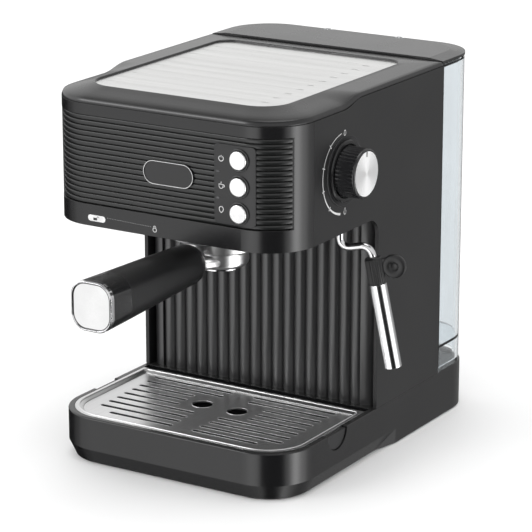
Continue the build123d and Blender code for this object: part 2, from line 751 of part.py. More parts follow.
with BuildPart() as pump:
    rod((PUMP_X, PUMP_Y, PUMP_LOW_Z), PUMP_R, PUMP_HIGH_Z - PUMP_LOW_Z, (0, 0, 1))
    rod((PUMP_X, PUMP_Y, PUMP_PORTS_Z[0]), HOSE_R, PUMP_PORTS_Z[1] - PUMP_PORTS_Z[0], (0, 0, 1))
write(pump, "pump")

with BuildPart() as pump_mounts:
    for z in MOUNT_ZS:
        with BuildSketch(Plane.XY.offset(z)):
            with Locations((PUMP_X, PUMP_Y)):
                Circle(MOUNT_R)
                Circle(PUMP_R, mode=Mode.SUBTRACT)
        extrude(amount=MOUNT_T)
write(pump_mounts, "pump_mounts")

with BuildPart() as rear_bulkhead:
    block(
        (-FILL_X, TANK_SEAM_Y, BASE_TOP_Z),
        (FILL_X, TANK_SEAM_Y + BULKHEAD_T, SEAM_REAR_Z),
    )
    for z in MOUNT_ZS:
        block(
            (PUMP_X - SHELF_HALF, PUMP_Y - SHELF_HALF, z),
            (PUMP_X + SHELF_HALF, TANK_SEAM_Y, z + MOUNT_T),
        )
        rod((PUMP_X, PUMP_Y, z), MOUNT_R, MOUNT_T, (0, 0, 1), Mode.SUBTRACT)
write(rear_bulkhead, "rear_bulkhead")

with BuildPart() as suction_hose:
    tube(
        [
            (0, VALVE_Y, SOCKET_LOW_Z),
            (0, VALVE_Y, HOSE_LOW_Z),
            (0, PUMP_Y, HOSE_LOW_Z),
            (PUMP_X, PUMP_Y, HOSE_LOW_Z),
            (PUMP_X, PUMP_Y, PUMP_PORTS_Z[0]),
        ],
        [8, 14, 14],
        HOSE_R,
    )
write(suction_hose, "suction_hose")

with BuildPart() as pressure_hose:
    tube(
        [
            (PUMP_X, PUMP_Y, PUMP_PORTS_Z[1]),
            (PUMP_X, PUMP_Y, INLET_Z),
            (PUMP_X, GROUP_Y, INLET_Z),
            (-BOILER_R - 8, GROUP_Y, INLET_Z),
        ],
        [14, 10],
        HOSE_R,
    )
write(pressure_hose, "pressure_hose")

# ---- steam valve, knob and wand ---------------------------------------------------------------
VALVE_HALF = 12.0
STEAM_HOSE_Z = 232.0
SOCKET_TOP_Z = 204.0
PIPE_TOP_Z = 197.0
with BuildPart() as steam_valve:
    block(
        (STEAM_OUTLET_X, KNOB_Y - VALVE_HALF, 212),
        (97, KNOB_Y + VALVE_HALF, 242),
    )
    rod((80, KNOB_Y, KNOB_Z), SPINDLE_R + 0.05, 20, (1, 0, 0), Mode.SUBTRACT)
write(steam_valve, "steam_valve")

with BuildPart() as steam_hose:
    tube(
        [
            (WAND_X, KNOB_Y + VALVE_HALF, STEAM_HOSE_Z),
            (WAND_X, WAND_Y, STEAM_HOSE_Z),
            (WAND_X, WAND_Y, SOCKET_TOP_Z),
        ],
        [7],
        2.6,
    )
write(steam_hose, "steam_hose")

with BuildPart() as wand_socket:
    rod((WAND_X, WAND_Y, HEAD_BOTTOM_Z), SOCKET_R, SOCKET_TOP_Z - HEAD_BOTTOM_Z, (0, 0, 1))
    rod((WAND_X, WAND_Y, PIPE_TOP_Z + SNUG), PIPE_R + 0.05, 20, (0, 0, -1), Mode.SUBTRACT)
    rod((WAND_X, WAND_Y, PIPE_TOP_Z), 1.5, 8, (0, 0, 1), Mode.SUBTRACT)
write(wand_socket, "wand_socket")

with BuildPart() as knob_ring:
    with BuildSketch(Plane.YZ.offset(SIDE_X)):
        with Locations((KNOB_Y, KNOB_Z)):
            Circle(KNOB_RING_R)
            Circle(KNOB_R + 0.6, mode=Mode.SUBTRACT)
    extrude(amount=2.4)
    chamfer(knob_ring.edges().group_by(Axis.X)[-1], 0.8)
write(knob_ring, "knob_ring")

KNOB_DISC_R = 16.0
KNOB_BACK_X = SIDE_X + 0.8
with BuildPart() as knob_shell:
    with BuildSketch(Plane.YZ.offset(KNOB_BACK_X)):
        with Locations((KNOB_Y, KNOB_Z)):
            Circle(KNOB_R)
    extrude(amount=KNOB_FACE_X - KNOB_BACK_X)
    chamfer(knob_shell.faces().sort_by(Axis.X)[-1].edges(), 1)
    rod((KNOB_FACE_X - 1, KNOB_Y, KNOB_Z), KNOB_DISC_R, 5, (1, 0, 0), Mode.SUBTRACT)
    rod((KNOB_BACK_X, KNOB_Y, KNOB_Z), SPINDLE_R, 8, (1, 0, 0), Mode.SUBTRACT)
write(knob_shell, "knob_shell")

with BuildPart() as knob_disc:
    rod((KNOB_FACE_X - 1, KNOB_Y, KNOB_Z), KNOB_DISC_R, 1, (1, 0, 0))
write(knob_disc, "knob_disc")

with BuildPart() as valve_spindle:
    rod((81, KNOB_Y, KNOB_Z), SPINDLE_R, KNOB_BACK_X + 8 - 81, (1, 0, 0))
write(valve_spindle, "valve_spindle")

# the wand lies in an upright plane through its swivel axis: local x is outwards, local y is up
wand_out = (cos(radians(WAND_DEG)), sin(radians(WAND_DEG)), 0)
wand_plane = Plane((WAND_X, WAND_Y, 0), x_dir=wand_out, z_dir=(wand_out[1], -wand_out[0], 0))
BEND_Z = 164.5
SHOULDER = (22.6, 168.3)
GRIP_TOP_Z = 159.5
GRIP_LOW_Z = 140.2
SLEEVE_LOW_Z = 78.2
PIPE_END_Z = 96.0
wand_down = wand_plane.from_local_coords((WAND_LEAN, -1, 0)) - wand_plane.origin


def on_wand(z):
    """The point of the wand's straight stretch at height z."""
    out = SHOULDER[0] + (SHOULDER[1] - z) * WAND_LEAN
    return wand_plane.from_local_coords((out, z, 0))


with BuildPart() as wand_pipe:
    with BuildLine(wand_plane) as wand_route:
        FilletPolyline(
            (0, PIPE_TOP_Z),
            (0, BEND_Z),
            SHOULDER,
            (SHOULDER[0] + (SHOULDER[1] - PIPE_END_Z) * WAND_LEAN, PIPE_END_Z),
            radius=[6.5, 8],
        )
    with BuildSketch(Plane((WAND_X, WAND_Y, PIPE_TOP_Z))):
        Circle(PIPE_R)
    sweep(path=wand_route.wires()[0])
write(wand_pipe, "wand_pipe")

grip_length = (GRIP_TOP_Z - GRIP_LOW_Z) * (1 + WAND_LEAN**2) ** 0.5
TAB_R = 8.7
TAB_T = 4.0
TAB_UP = 4.0
TAB_OUT = 14.5
with BuildPart() as wand_grip:
    rod(on_wand(GRIP_TOP_Z), GRIP_R, grip_length, wand_down)
    with BuildSketch(wand_plane.offset(-TAB_T / 2)):
        tab_z = (GRIP_TOP_Z + GRIP_LOW_Z) / 2 + TAB_UP
        tab_out = SHOULDER[0] + (SHOULDER[1] - tab_z) * WAND_LEAN + TAB_OUT
        with Locations((tab_out, tab_z)):
            Circle(TAB_R)
        with Locations((tab_out - TAB_R, tab_z)):
            Rectangle(2 * TAB_R, 1.5 * TAB_R)
    extrude(amount=TAB_T)
    rod(on_wand(GRIP_TOP_Z + 9), PIPE_R, grip_length + 20, wand_down, Mode.SUBTRACT)
write(wand_grip, "wand_grip")

COLLAR_L = 16.0
with BuildPart() as wand_collar:
    rod(on_wand(GRIP_LOW_Z), SLEEVE_BORE_R - 0.05, COLLAR_L, wand_down)
    rod(on_wand(GRIP_LOW_Z), PIPE_R, COLLAR_L, wand_down, Mode.SUBTRACT)
write(wand_collar, "wand_collar")

TIP_R = 3.6
TIP_BORE_R = 1.0
TIP_L = 9.0
with BuildPart() as wand_tip:
    rod(on_wand(PIPE_END_Z), TIP_R, TIP_L, wand_down)
    rod(on_wand(PIPE_END_Z), TIP_BORE_R, TIP_L, wand_down, Mode.SUBTRACT)
write(wand_tip, "wand_tip")

sleeve_length = (GRIP_LOW_Z - SLEEVE_LOW_Z) * (1 + WAND_LEAN**2) ** 0.5 - SNUG
with BuildPart() as frothing_sleeve:
    rod(on_wand(GRIP_LOW_Z - SNUG), SLEEVE_R, sleeve_length, wand_down)
    rod(on_wand(GRIP_LOW_Z - SNUG), SLEEVE_BORE_R, sleeve_length, wand_down, Mode.SUBTRACT)
write(frothing_sleeve, "frothing_sleeve")

# ---- filter holder ----------------------------------------------------------------------------
BOWL_TOP_Z = 178.4
BOWL_LOW_Z = 146.0
BOWL_FOOT_R = 21.5
NECK_W = 15.0
BOLT_R = 4.0
BOLT_Z = 152.5
BOLT_START_Y = -100.0
LUG_T = 4.0
SPOUT_X = 12.0
SPOUT_R = 2.0

with BuildPart() as portafilter_bowl:
    with BuildSketch(Plane.XZ.offset(-GROUP_Y)):
        with BuildLine():
            Polyline((0, BOWL_LOW_Z), (BOWL_FOOT_R - 4, BOWL_LOW_Z))
            RadiusArc(
                (BOWL_FOOT_R - 4, BOWL_LOW_Z), (BOWL_FOOT_R, BOWL_LOW_Z + 4), -4
            )
            Polyline(
                (BOWL_FOOT_R, BOWL_LOW_Z + 4),
                (BOWL_FOOT_R, 156.5),
                (BOWL_R - 1, 159.5),
                (BOWL_R, 160.5),
                (BOWL_R, BOWL_TOP_Z),
                (26.6, BOWL_TOP_Z),
                (26.6, 163.5),
                (4, 160),
                (4, 152),
                (0, 152),
                (0, BOWL_LOW_Z),
            )
        make_face()
    revolve(axis=group_axis)
    for middle in (0, 180):
        with BuildSketch(Plane.XY.offset(CHANNEL_LOW_Z + 0.6)):
            with Locations((0, GROUP_Y)):
                Circle(LUG_R)
                Circle(BOWL_R - 1, mode=Mode.SUBTRACT)
            wedge(2 * LUG_R, middle, 17, Mode.INTERSECT)
        extrude(amount=LUG_T)
    # waisted neck between the bowl and the handle
    with BuildSketch(Plane.XZ.offset(-HANDLE_START_Y)):
        with Locations((0, 153.5)):
            RectangleRounded(NECK_W, 17, 5)
    with BuildSketch(Plane.XZ.offset(97)):
        with Locations((0, 152)):
            RectangleRounded(NECK_W - 3, 10, 4)
    with BuildSketch(Plane.XZ.offset(86)):
        with Locations((0, 152)):
            RectangleRounded(NECK_W + 11, 9, 4)
    loft()
    rod((0, BOLT_START_Y, BOLT_Z), BOLT_R, 10, (0, -1, 0), Mode.SUBTRACT)
    for x in (-SPOUT_X, SPOUT_X):
        rod((x, GROUP_Y, BOWL_LOW_Z - 1), SPOUT_R, 7, (0, 0, 1), Mode.SUBTRACT)
write(portafilter_bowl, "portafilter_bowl")

with BuildPart() as spout_plate:
    with BuildSketch(Plane.XY.offset(BOWL_LOW_Z - 1.6)):
        with Locations((0, GROUP_Y)):
            Circle(16)
        with Locations((-SPOUT_X, GROUP_Y), (SPOUT_X, GROUP_Y)):
            Circle(SPOUT_R, mode=Mode.SUBTRACT)
    extrude(amount=1.6)
write(spout_plate, "spout_plate")

with BuildPart() as filter_basket:
    with BuildSketch(Plane.XZ.offset(-GROUP_Y)):
        with BuildLine():
            Polyline(
                (0, 164.5),
                (24.8, 164.5),
                (25.8, 167),
                (25.8, BOWL_TOP_Z),
                (28.6, BOWL_TOP_Z),
                (28.6, BOWL_TOP_Z + 0.7),
                (25.1, BOWL_TOP_Z + 0.7),
                (25.1, 167),
                (24.4, 165.2),
                (0, 165.2),
                close=True,
            )
        make_face()
    revolve(axis=group_axis)
write(filter_basket, "filter_basket")


def handle_section(y, width, height, radius, z=HANDLE_Z):
    """One rounded cross-section of the handle, at y, ready to be lofted."""
    with BuildSketch(Plane.XZ.offset(-y)) as section:
        with Locations((0, z)):
            RectangleRounded(width, height, radius)
    return section.sketch


BAND_SIZE = (33.0, 35.0, 13.0)
END_SIZE = (33.7, 35.7, 12.0)
END_RIM = 1.8
INSERT_SIZE = (END_SIZE[0] - 2 * END_RIM, END_SIZE[1] - 2 * END_RIM, END_SIZE[2] - END_RIM)
with BuildPart() as handle_grip:
    loft(
        [
            handle_section(HANDLE_START_Y, 20, 20, 9.9, 156),
            handle_section(HANDLE_START_Y - 0.8, 23.6, 23.6, 11.7, 156),
            handle_section(HANDLE_START_Y - 2.4, 26.8, 26.8, 13.3, 156),
            handle_section(HANDLE_START_Y - 4.8, 29, 29, 14.4, 156),
            handle_section(HANDLE_START_Y - 8, 30, 30, 14.9, 156),
            handle_section(-155, 31.5, 32.6, 14.4, 155.8),
            handle_section(HANDLE_BAND_Y, *BAND_SIZE),
        ],
        ruled=True,
    )
    rod((0, HANDLE_START_Y + 1, BOLT_Z), BOLT_R, 95, (0, -1, 0), Mode.SUBTRACT)
write(handle_grip, "handle_grip")

with BuildPart() as handle_band:
    loft([handle_section(HANDLE_BAND_Y, *BAND_SIZE), handle_section(HANDLE_RING_Y, *END_SIZE)])
write(handle_band, "handle_band")

with BuildPart() as handle_end_ring:
    with BuildSketch(Plane.XZ.offset(-HANDLE_RING_Y)):
        with Locations((0, HANDLE_Z)):
            RectangleRounded(*END_SIZE)
            RectangleRounded(*INSERT_SIZE, mode=Mode.SUBTRACT)
    extrude(amount=HANDLE_RING_Y - HANDLE_END_Y)
    chamfer(handle_end_ring.edges().group_by(Axis.Y)[0], 0.7)
write(handle_end_ring, "handle_end_ring")

with BuildPart() as handle_end_insert:
    with BuildSketch(Plane.XZ.offset(-HANDLE_RING_Y)):
        with Locations((0, HANDLE_Z)):
            RectangleRounded(*INSERT_SIZE)
    extrude(amount=HANDLE_RING_Y - HANDLE_END_Y - 0.8)
write(handle_end_insert, "handle_end_insert")

with BuildPart() as handle_bolt:
    rod((0, BOLT_START_Y, BOLT_Z), BOLT_R, 98, (0, -1, 0))
write(handle_bolt, "handle_bolt")

# ---- top frame and cup-warmer plate -----------------------------------------------------------
BEVEL_LOW_Z = 279.0
BEVEL_IN = 18.0
CUT_PAST = 9.0


def plate_outline(grow):
    """The cup-warmer opening, grown by a margin, in the open sketch."""
    with Locations((0, (PLATE_FRONT_Y + PLATE_REAR_Y) / 2)):
        RectangleRounded(2 * (PLATE_X + grow), PLATE_REAR_Y - PLATE_FRONT_Y + 2 * grow, 14 + grow)


with BuildPart() as top_frame:
    with BuildSketch(Plane.XY.offset(SEAM_FRONT_Z)):
        footprint(0)
        keep_between(FRONT_Y, TANK_SEAM_Y)
    extrude(amount=BEVEL_LOW_Z - SEAM_FRONT_Z)
    with BuildSketch(Plane.XY.offset(BEVEL_LOW_Z)):
        footprint(0)
    with BuildSketch(Plane.XY.offset(TOP_Z)):
        footprint(BEVEL_IN)
    loft()
    block((-WIDTH, TANK_SEAM_Y, 270), (WIDTH, DEPTH, 290), Mode.SUBTRACT)
    with BuildSketch(Plane.XY.offset(SEAM_FRONT_Z)):
        footprint(SHELL_T)
        keep_between(FRONT_Y, TANK_SEAM_Y)
    extrude(amount=BEVEL_LOW_Z - SEAM_FRONT_Z, mode=Mode.SUBTRACT)
    with BuildSketch(Plane.YZ.offset(-WIDTH)):
        with BuildLine():
            seam_line()
            Polyline(
                (TANK_SEAM_Y, SEAM_REAR_Z),
                (TANK_SEAM_Y + CUT_PAST, SEAM_REAR_Z),
                (TANK_SEAM_Y + CUT_PAST, 260),
                (SHELL_END_Y, 260),
                (SHELL_END_Y, SEAM_FRONT_Z),
            )
        make_face()
    extrude(amount=2 * WIDTH, mode=Mode.SUBTRACT)
    with BuildSketch(Plane.XY.offset(SEAM_FRONT_Z)):
        plate_outline(0)
    extrude(amount=20, mode=Mode.SUBTRACT)
write(top_frame, "top_frame")

PLATE_FLANGE_Z = 277.2
PLATE_FLANGE_T = 1.6
with BuildPart() as cup_warmer_plate:
    with BuildSketch(Plane.XY.offset(PLATE_FLANGE_Z)):
        plate_outline(2)
    extrude(amount=PLATE_FLANGE_T)
    with BuildSketch(Plane.XY.offset(PLATE_FLANGE_Z)):
        plate_outline(-0.2)
    extrude(amount=PLATE_TOP_Z - PLATE_FLANGE_Z)
    for rib in range(PLATE_RIBS):
        rib_y = PLATE_FIRST_RIB_Y + rib * PLATE_RIB_PITCH
        with BuildSketch(Plane.XY.offset(PLATE_TOP_Z)):
            with Locations((0, rib_y)):
                SlotOverall(138, 5)
        extrude(amount=0.6)
        block((60, rib_y - 1, PLATE_TOP_Z - 0.8), (66, rib_y + 1, TOP_Z), Mode.SUBTRACT)
write(cup_warmer_plate, "cup_warmer_plate")

# ---- water tank and lid -----------------------------------------------------------------------
SOCKET_SEAT_Z = 41.0
VALVE_R = 9.0
VALVE_NECK_R = 7.0
with BuildPart() as tank_socket:
    rod((0, VALVE_Y, SOCKET_LOW_Z), TANK_PIPE_R, 14, (0, 0, 1))
    rod((0, VALVE_Y, BASE_TOP_Z), VALVE_R + 4, 8, (0, 0, 1))
    rod((0, VALVE_Y, SOCKET_SEAT_Z), VALVE_R + SNUG, 9, (0, 0, 1), Mode.SUBTRACT)
    rod((0, VALVE_Y, SOCKET_LOW_Z), 2, 20, (0, 0, 1), Mode.SUBTRACT)
write(tank_socket, "tank_socket")

with BuildPart() as water_tank:
    with BuildSketch(Plane.XY.offset(TANK_LOW_Z)):
        footprint(TANK_INSET)
        keep_between(TANK_FRONT_Y, REAR_Y)
    extrude(amount=TANK_TOP_Z - TANK_LOW_Z)
    with BuildSketch(Plane.XY.offset(TANK_FLOOR_Z + TANK_WALL)):
        footprint(TANK_INSET + TANK_WALL)
        keep_between(TANK_FRONT_Y + TANK_WALL, REAR_Y)
    extrude(amount=TANK_TOP_Z, mode=Mode.SUBTRACT)
    with BuildSketch(Plane.XY.offset(TANK_LOW_Z)):
        footprint(TANK_INSET + TANK_WALL)
        keep_between(TANK_FRONT_Y + TANK_WALL, REAR_Y)
    extrude(amount=TANK_FLOOR_Z - TANK_LOW_Z, mode=Mode.SUBTRACT)
    rod((0, VALVE_Y, TANK_LOW_Z), VALVE_NECK_R, 30, (0, 0, 1), Mode.SUBTRACT)
    # the lid's rear edge swings down through this step in the rear wall
    block(
        (-LID_STEP_X, LID_PIN_Y, TANK_TOP_Z - LID_STEP_H),
        (LID_STEP_X, REAR_Y, TANK_TOP_Z),
        Mode.SUBTRACT,
    )
    # two ears at the rear hold the lid's pins
    for x in (-EAR_X, EAR_X):
        block(
            (x - EAR_HALF, LID_PIN_Y - 2, TANK_TOP_Z - 6),
            (x + EAR_HALF, LID_PIN_Y + 2, TOP_Z - 0.6),
        )
    rod(
        (-EAR_X - 3, LID_PIN_Y, LID_PIN_Z),
        LID_PIN_R + 0.05,
        2 * EAR_X + 6,
        (1, 0, 0),
        Mode.SUBTRACT,
    )
write(water_tank, "water_tank")

with BuildPart() as tank_valve:
    rod((0, VALVE_Y, TANK_FLOOR_Z + 5), VALVE_NECK_R, 14, (0, 0, -1))
    rod((0, VALVE_Y, TANK_FLOOR_Z), VALVE_R, 13.4, (0, 0, -1))
write(tank_valve, "tank_valve")

LID_INSET = 0.8
LID_EDGE_T = 2.0
LID_LIP_D = 4.0
LID_LIP_END_Y = 130.0
with BuildPart() as tank_lid:
    with BuildSketch(Plane.XY.offset(LID_LOW_Z)):
        footprint(LID_INSET)
        keep_between(TANK_SEAM_Y + SNUG, REAR_Y)
    extrude(amount=LID_EDGE_T)
    with BuildSketch(Plane.XY.offset(LID_LOW_Z + LID_EDGE_T)):
        footprint(LID_INSET)
    with BuildSketch(Plane.XY.offset(TOP_Z)):
        footprint(LID_INSET + 12)
    loft()
    block((-WIDTH, -DEPTH, LID_LOW_Z), (WIDTH, TANK_SEAM_Y + SNUG, TOP_Z), Mode.SUBTRACT)
    with BuildSketch(Plane.XY.offset(LID_LOW_Z)):
        footprint(TANK_INSET + TANK_WALL + 1.2)
        footprint(TANK_INSET + TANK_WALL + 3, Mode.SUBTRACT)
        keep_between(TANK_FRONT_Y + TANK_WALL + 3, LID_LIP_END_Y)
    extrude(amount=-LID_LIP_D)
    for x in (-EAR_X, EAR_X):
        gap = EAR_HALF + 0.5
        block((x - gap, LID_PIN_Y - 3.2, LID_LOW_Z - 1), (x + gap, REAR_Y, TOP_Z), Mode.SUBTRACT)
        rod((x - gap - 0.1, LID_PIN_Y, LID_PIN_Z), LID_PIN_R, 2 * gap + 0.2, (1, 0, 0))
write(tank_lid, "tank_lid")
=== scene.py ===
"""Espresso machine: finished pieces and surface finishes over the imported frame.

Metres, in the frame of the model: +X the machine's right, +Y its back, +Z up, the floor at zero.
"""

import logging
import math
from collections.abc import Callable, Iterable, Sequence
from dataclasses import dataclass
from enum import Enum

import bmesh
import bpy
from mathutils import Matrix, Vector


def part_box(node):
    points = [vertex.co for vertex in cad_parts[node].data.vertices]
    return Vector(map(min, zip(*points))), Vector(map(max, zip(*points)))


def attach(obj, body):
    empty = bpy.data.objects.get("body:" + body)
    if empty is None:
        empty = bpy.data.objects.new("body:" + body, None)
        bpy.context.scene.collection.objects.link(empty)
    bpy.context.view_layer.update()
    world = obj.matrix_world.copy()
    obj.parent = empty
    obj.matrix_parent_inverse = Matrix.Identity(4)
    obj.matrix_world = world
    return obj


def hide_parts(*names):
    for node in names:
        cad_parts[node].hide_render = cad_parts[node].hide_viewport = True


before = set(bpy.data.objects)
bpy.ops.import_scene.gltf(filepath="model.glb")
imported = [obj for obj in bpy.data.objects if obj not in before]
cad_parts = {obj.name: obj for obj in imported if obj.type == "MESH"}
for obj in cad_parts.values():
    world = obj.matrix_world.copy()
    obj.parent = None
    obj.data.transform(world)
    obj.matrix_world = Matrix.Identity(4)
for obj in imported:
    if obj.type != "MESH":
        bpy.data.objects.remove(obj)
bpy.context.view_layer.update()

LOG = logging.getLogger("espresso_machine")
MM = 0.001
Colour = tuple[float, float, float]
Point = tuple[float, float, float]
Spot = tuple[float, float]


class Body(Enum):
    """The moving bodies that new pieces ride on."""

    HOUSING = "housing"
    FILTER_HOLDER = "portafilter"
    KNOB = "steam_knob"
    WAND = "steam_wand"
    GRID = "drip_grid"


class Lay(Enum):
    """The direction that a metal's finishing marks run in."""

    ALONG_X = (0.03, 1.0, 1.0)
    ALONG_Y = (1.0, 0.03, 1.0)
    ALONG_Z = (1.0, 1.0, 0.03)
    NONE = (1.0, 1.0, 1.0)


# ---- node graphs --------------------------------------------------------------------------------
@dataclass
class Graph:
    """A node tree that is being wired, shader or geometry."""

    tree: bpy.types.NodeTree

    def add(self, kind: str, inputs: dict | None = None, **settings: object) -> bpy.types.Node:
        """Add one node.

        Args:
            kind: The node's type name.
            inputs: Socket name or number to a value, or to the socket that feeds it.
            settings: Properties of the node.

        Returns:
            The new node.
        """
        node = self.tree.nodes.new(kind)
        for name, value in settings.items():
            setattr(node, name, value)
        for name, value in (inputs or {}).items():
            if isinstance(value, bpy.types.NodeSocket):
                self.tree.links.new(value, node.inputs[name])
            else:
                node.inputs[name].default_value = value
        return node

    def math(self, operation: str, *values: object, clamp: bool = False) -> bpy.types.NodeSocket:
        """A Math node's result.

        Args:
            operation: The Math node's operation.
            values: Its inputs in order, numbers or sockets.
            clamp: Whether the result is kept within 0 and 1.

        Returns:
            The socket that holds the result.
        """
        node = self.add("ShaderNodeMath", dict(enumerate(values)), operation=operation, use_clamp=clamp)
        return node.outputs[0]

    def mix(self, share: object, low: object, high: object) -> bpy.types.NodeSocket:
        """A colour between two others.

        Args:
            share: How much of the second colour.
            low: The first colour, four numbers or a socket.
            high: The second colour.

        Returns:
            The socket that holds the mixed colour.
        """
        node = self.add("ShaderNodeMix", {0: share, 6: low, 7: high}, data_type="RGBA")
        return node.outputs[2]

    def attribute(self, name: str, kind: str = "FLOAT") -> bpy.types.NodeSocket:
        """A named attribute of the mesh, in a geometry tree.

        Args:
            name: The attribute's name.
            kind: Its data type.

        Returns:
            The socket that holds it.
        """
        return self.add("GeometryNodeInputNamedAttribute", {0: name}, data_type=kind).outputs[0]

    def span(self, value: object, low: float, high: float) -> bpy.types.NodeSocket:
        """Stretch a 0 to 1 value over a range.

        Args:
            value: The socket to read.
            low: The result at 0.
            high: The result at 1.

        Returns:
            The socket that holds the result.
        """
        return self.math("MULTIPLY_ADD", value, high - low, low)


@dataclass(frozen=True)
class ShaderGroup:
    """A shader effect that several finishes share, built once as a node group."""

    name: str
    sockets: tuple[tuple[str, str, str], ...]
    wire: Callable[[Graph, bpy.types.Node, bpy.types.Node], None]

    def tree(self) -> bpy.types.NodeTree:
        """The node group, made at its first use."""
        known = bpy.data.node_groups.get(self.name)
        if known:
            return known
        tree = bpy.data.node_groups.new(self.name, "ShaderNodeTree")
        for name, side, kind in self.sockets:
            tree.interface.new_socket(name=name, in_out=side, socket_type=kind)
        graph = Graph(tree)
        self.wire(graph, graph.add("NodeGroupInput"), graph.add("NodeGroupOutput"))
        return tree

    def place(self, graph: Graph, **values: object) -> bpy.types.Node:
        """Put the group in a material.

        Args:
            graph: The material's graph.
            values: Its inputs, with spaces in their names written as underscores.

        Returns:
            The group node.
        """
        inputs = {name.replace("_", " "): value for name, value in values.items()}
        node = graph.add("ShaderNodeGroup", node_tree=self.tree())
        for name, value in inputs.items():
            if isinstance(value, bpy.types.NodeSocket):
                graph.tree.links.new(value, node.inputs[name])
            else:
                node.inputs[name].default_value = value
        return node


def wire_grain(graph: Graph, given: bpy.types.Node, out: bpy.types.Node) -> None:
    """Moulded grain: fine pits for the height, and slow cloudy patches for the tint.

    Args:
        graph: The group's graph.
        given: Its input node.
        out: Its output node.
    """
    cells = graph.add(
        "ShaderNodeTexVoronoi", {"Vector": given.outputs["Vector"], "Scale": given.outputs["Fineness"]}
    )
    noise = graph.add(
        "ShaderNodeTexNoise",
        {
            "Vector": given.outputs["Vector"],
            "Scale": given.outputs["Fineness"],
            "Detail": 3.0,
            "Roughness": 0.6,
        },
    )
    height = graph.math("MULTIPLY_ADD", cells.outputs["Distance"], 0.6, noise.outputs["Fac"])
    slow = graph.add(
        "ShaderNodeTexNoise",
        {
            "Vector": given.outputs["Vector"],
            "Scale": given.outputs["Patches"],
            "Detail": 4.0,
            "Roughness": 0.55,
        },
    )
    tint = graph.add(
        "ShaderNodeMapRange",
        {"Value": slow.outputs["Fac"], "From Min": 0.3, "From Max": 0.7},
    )
    graph.tree.links.new(height, out.inputs["Height"])
    graph.tree.links.new(tint.outputs[0], out.inputs["Tint"])


GRAIN = ShaderGroup(
    "moulded_grain",
    (
        ("Vector", "INPUT", "NodeSocketVector"),
        ("Fineness", "INPUT", "NodeSocketFloat"),
        ("Patches", "INPUT", "NodeSocketFloat"),
        ("Height", "OUTPUT", "NodeSocketFloat"),
        ("Tint", "OUTPUT", "NodeSocketFloat"),
    ),
    wire_grain,
)


def wire_edge(graph: Graph, given: bpy.types.Node, out: bpy.types.Node) -> None:
    """Rounded and rubbed edges: the softened normal, and a broken mask along each edge.

    Args:
        graph: The group's graph.
        given: Its input node.
        out: Its output node.
    """
    soft = graph.add("ShaderNodeBevel", {"Radius": given.outputs["Radius"]}, samples=4)
    flat = graph.add("ShaderNodeNewGeometry")
    turn = graph.add(
        "ShaderNodeVectorMath", {0: soft.outputs[0], 1: flat.outputs["Normal"]}, operation="DOT_PRODUCT"
    )
    away = graph.math("SUBTRACT", 1.0, turn.outputs["Value"])
    noise = graph.add(
        "ShaderNodeTexNoise", {"Vector": given.outputs["Vector"], "Scale": 260.0, "Detail": 3.0}
    )
    strong = graph.math("MULTIPLY", away, 5.0, clamp=True)
    broken = graph.math("MULTIPLY", strong, noise.outputs["Fac"], clamp=True)
    graph.tree.links.new(broken, out.inputs["Mask"])
    graph.tree.links.new(soft.outputs[0], out.inputs["Normal"])


EDGE = ShaderGroup(
    "rubbed_edge",
    (
        ("Vector", "INPUT", "NodeSocketVector"),
        ("Radius", "INPUT", "NodeSocketFloat"),
        ("Mask", "OUTPUT", "NodeSocketFloat"),
        ("Normal", "OUTPUT", "NodeSocketVector"),
    ),
    wire_edge,
)


def wire_streaks(graph: Graph, given: bpy.types.Node, out: bpy.types.Node) -> None:
    """Brushed streaks: noise drawn out along the direction that Stretch makes small.

    Args:
        graph: The group's graph.
        given: Its input node.
        out: Its output node.
    """
    drawn = graph.add(
        "ShaderNodeVectorMath",
        {0: given.outputs["Vector"], 1: given.outputs["Stretch"]},
        operation="MULTIPLY",
    )
    fine = graph.add(
        "ShaderNodeTexNoise",
        {"Vector": drawn.outputs[0], "Scale": given.outputs["Fineness"], "Detail": 5.0, "Roughness": 0.7},
    )
    slow = graph.add(
        "ShaderNodeTexNoise", {"Vector": drawn.outputs[0], "Scale": 60.0, "Detail": 2.0}
    )
    both = graph.math("MULTIPLY", fine.outputs["Fac"], slow.outputs["Fac"])
    graph.tree.links.new(fine.outputs["Fac"], out.inputs["Height"])
    graph.tree.links.new(graph.math("MULTIPLY", both, 2.0, clamp=True), out.inputs["Streak"])


STREAKS = ShaderGroup(
    "brushed_streaks",
    (
        ("Vector", "INPUT", "NodeSocketVector"),
        ("Stretch", "INPUT", "NodeSocketVector"),
        ("Fineness", "INPUT", "NodeSocketFloat"),
        ("Height", "OUTPUT", "NodeSocketFloat"),
        ("Streak", "OUTPUT", "NodeSocketFloat"),
    ),
    wire_streaks,
)


def wire_turning(graph: Graph, given: bpy.types.Node, out: bpy.types.Node) -> None:
    """Turning marks: fine rings about an axis through Centre, which Across leaves out.

    Args:
        graph: The group's graph.
        given: Its input node.
        out: Its output node.
    """
    moved = graph.add(
        "ShaderNodeVectorMath", {0: given.outputs["Vector"], 1: given.outputs["Centre"]}, operation="SUBTRACT"
    )
    flat = graph.add(
        "ShaderNodeVectorMath", {0: moved.outputs[0], 1: given.outputs["Across"]}, operation="MULTIPLY"
    )
    reach = graph.add("ShaderNodeVectorMath", {0: flat.outputs[0]}, operation="LENGTH")
    rings = graph.add(
        "ShaderNodeTexNoise",
        {"W": reach.outputs["Value"], "Scale": given.outputs["Fineness"], "Detail": 4.0, "Roughness": 0.7},
        noise_dimensions="1D",
    )
    graph.tree.links.new(rings.outputs["Fac"], out.inputs["Height"])
    graph.tree.links.new(rings.outputs["Fac"], out.inputs["Streak"])


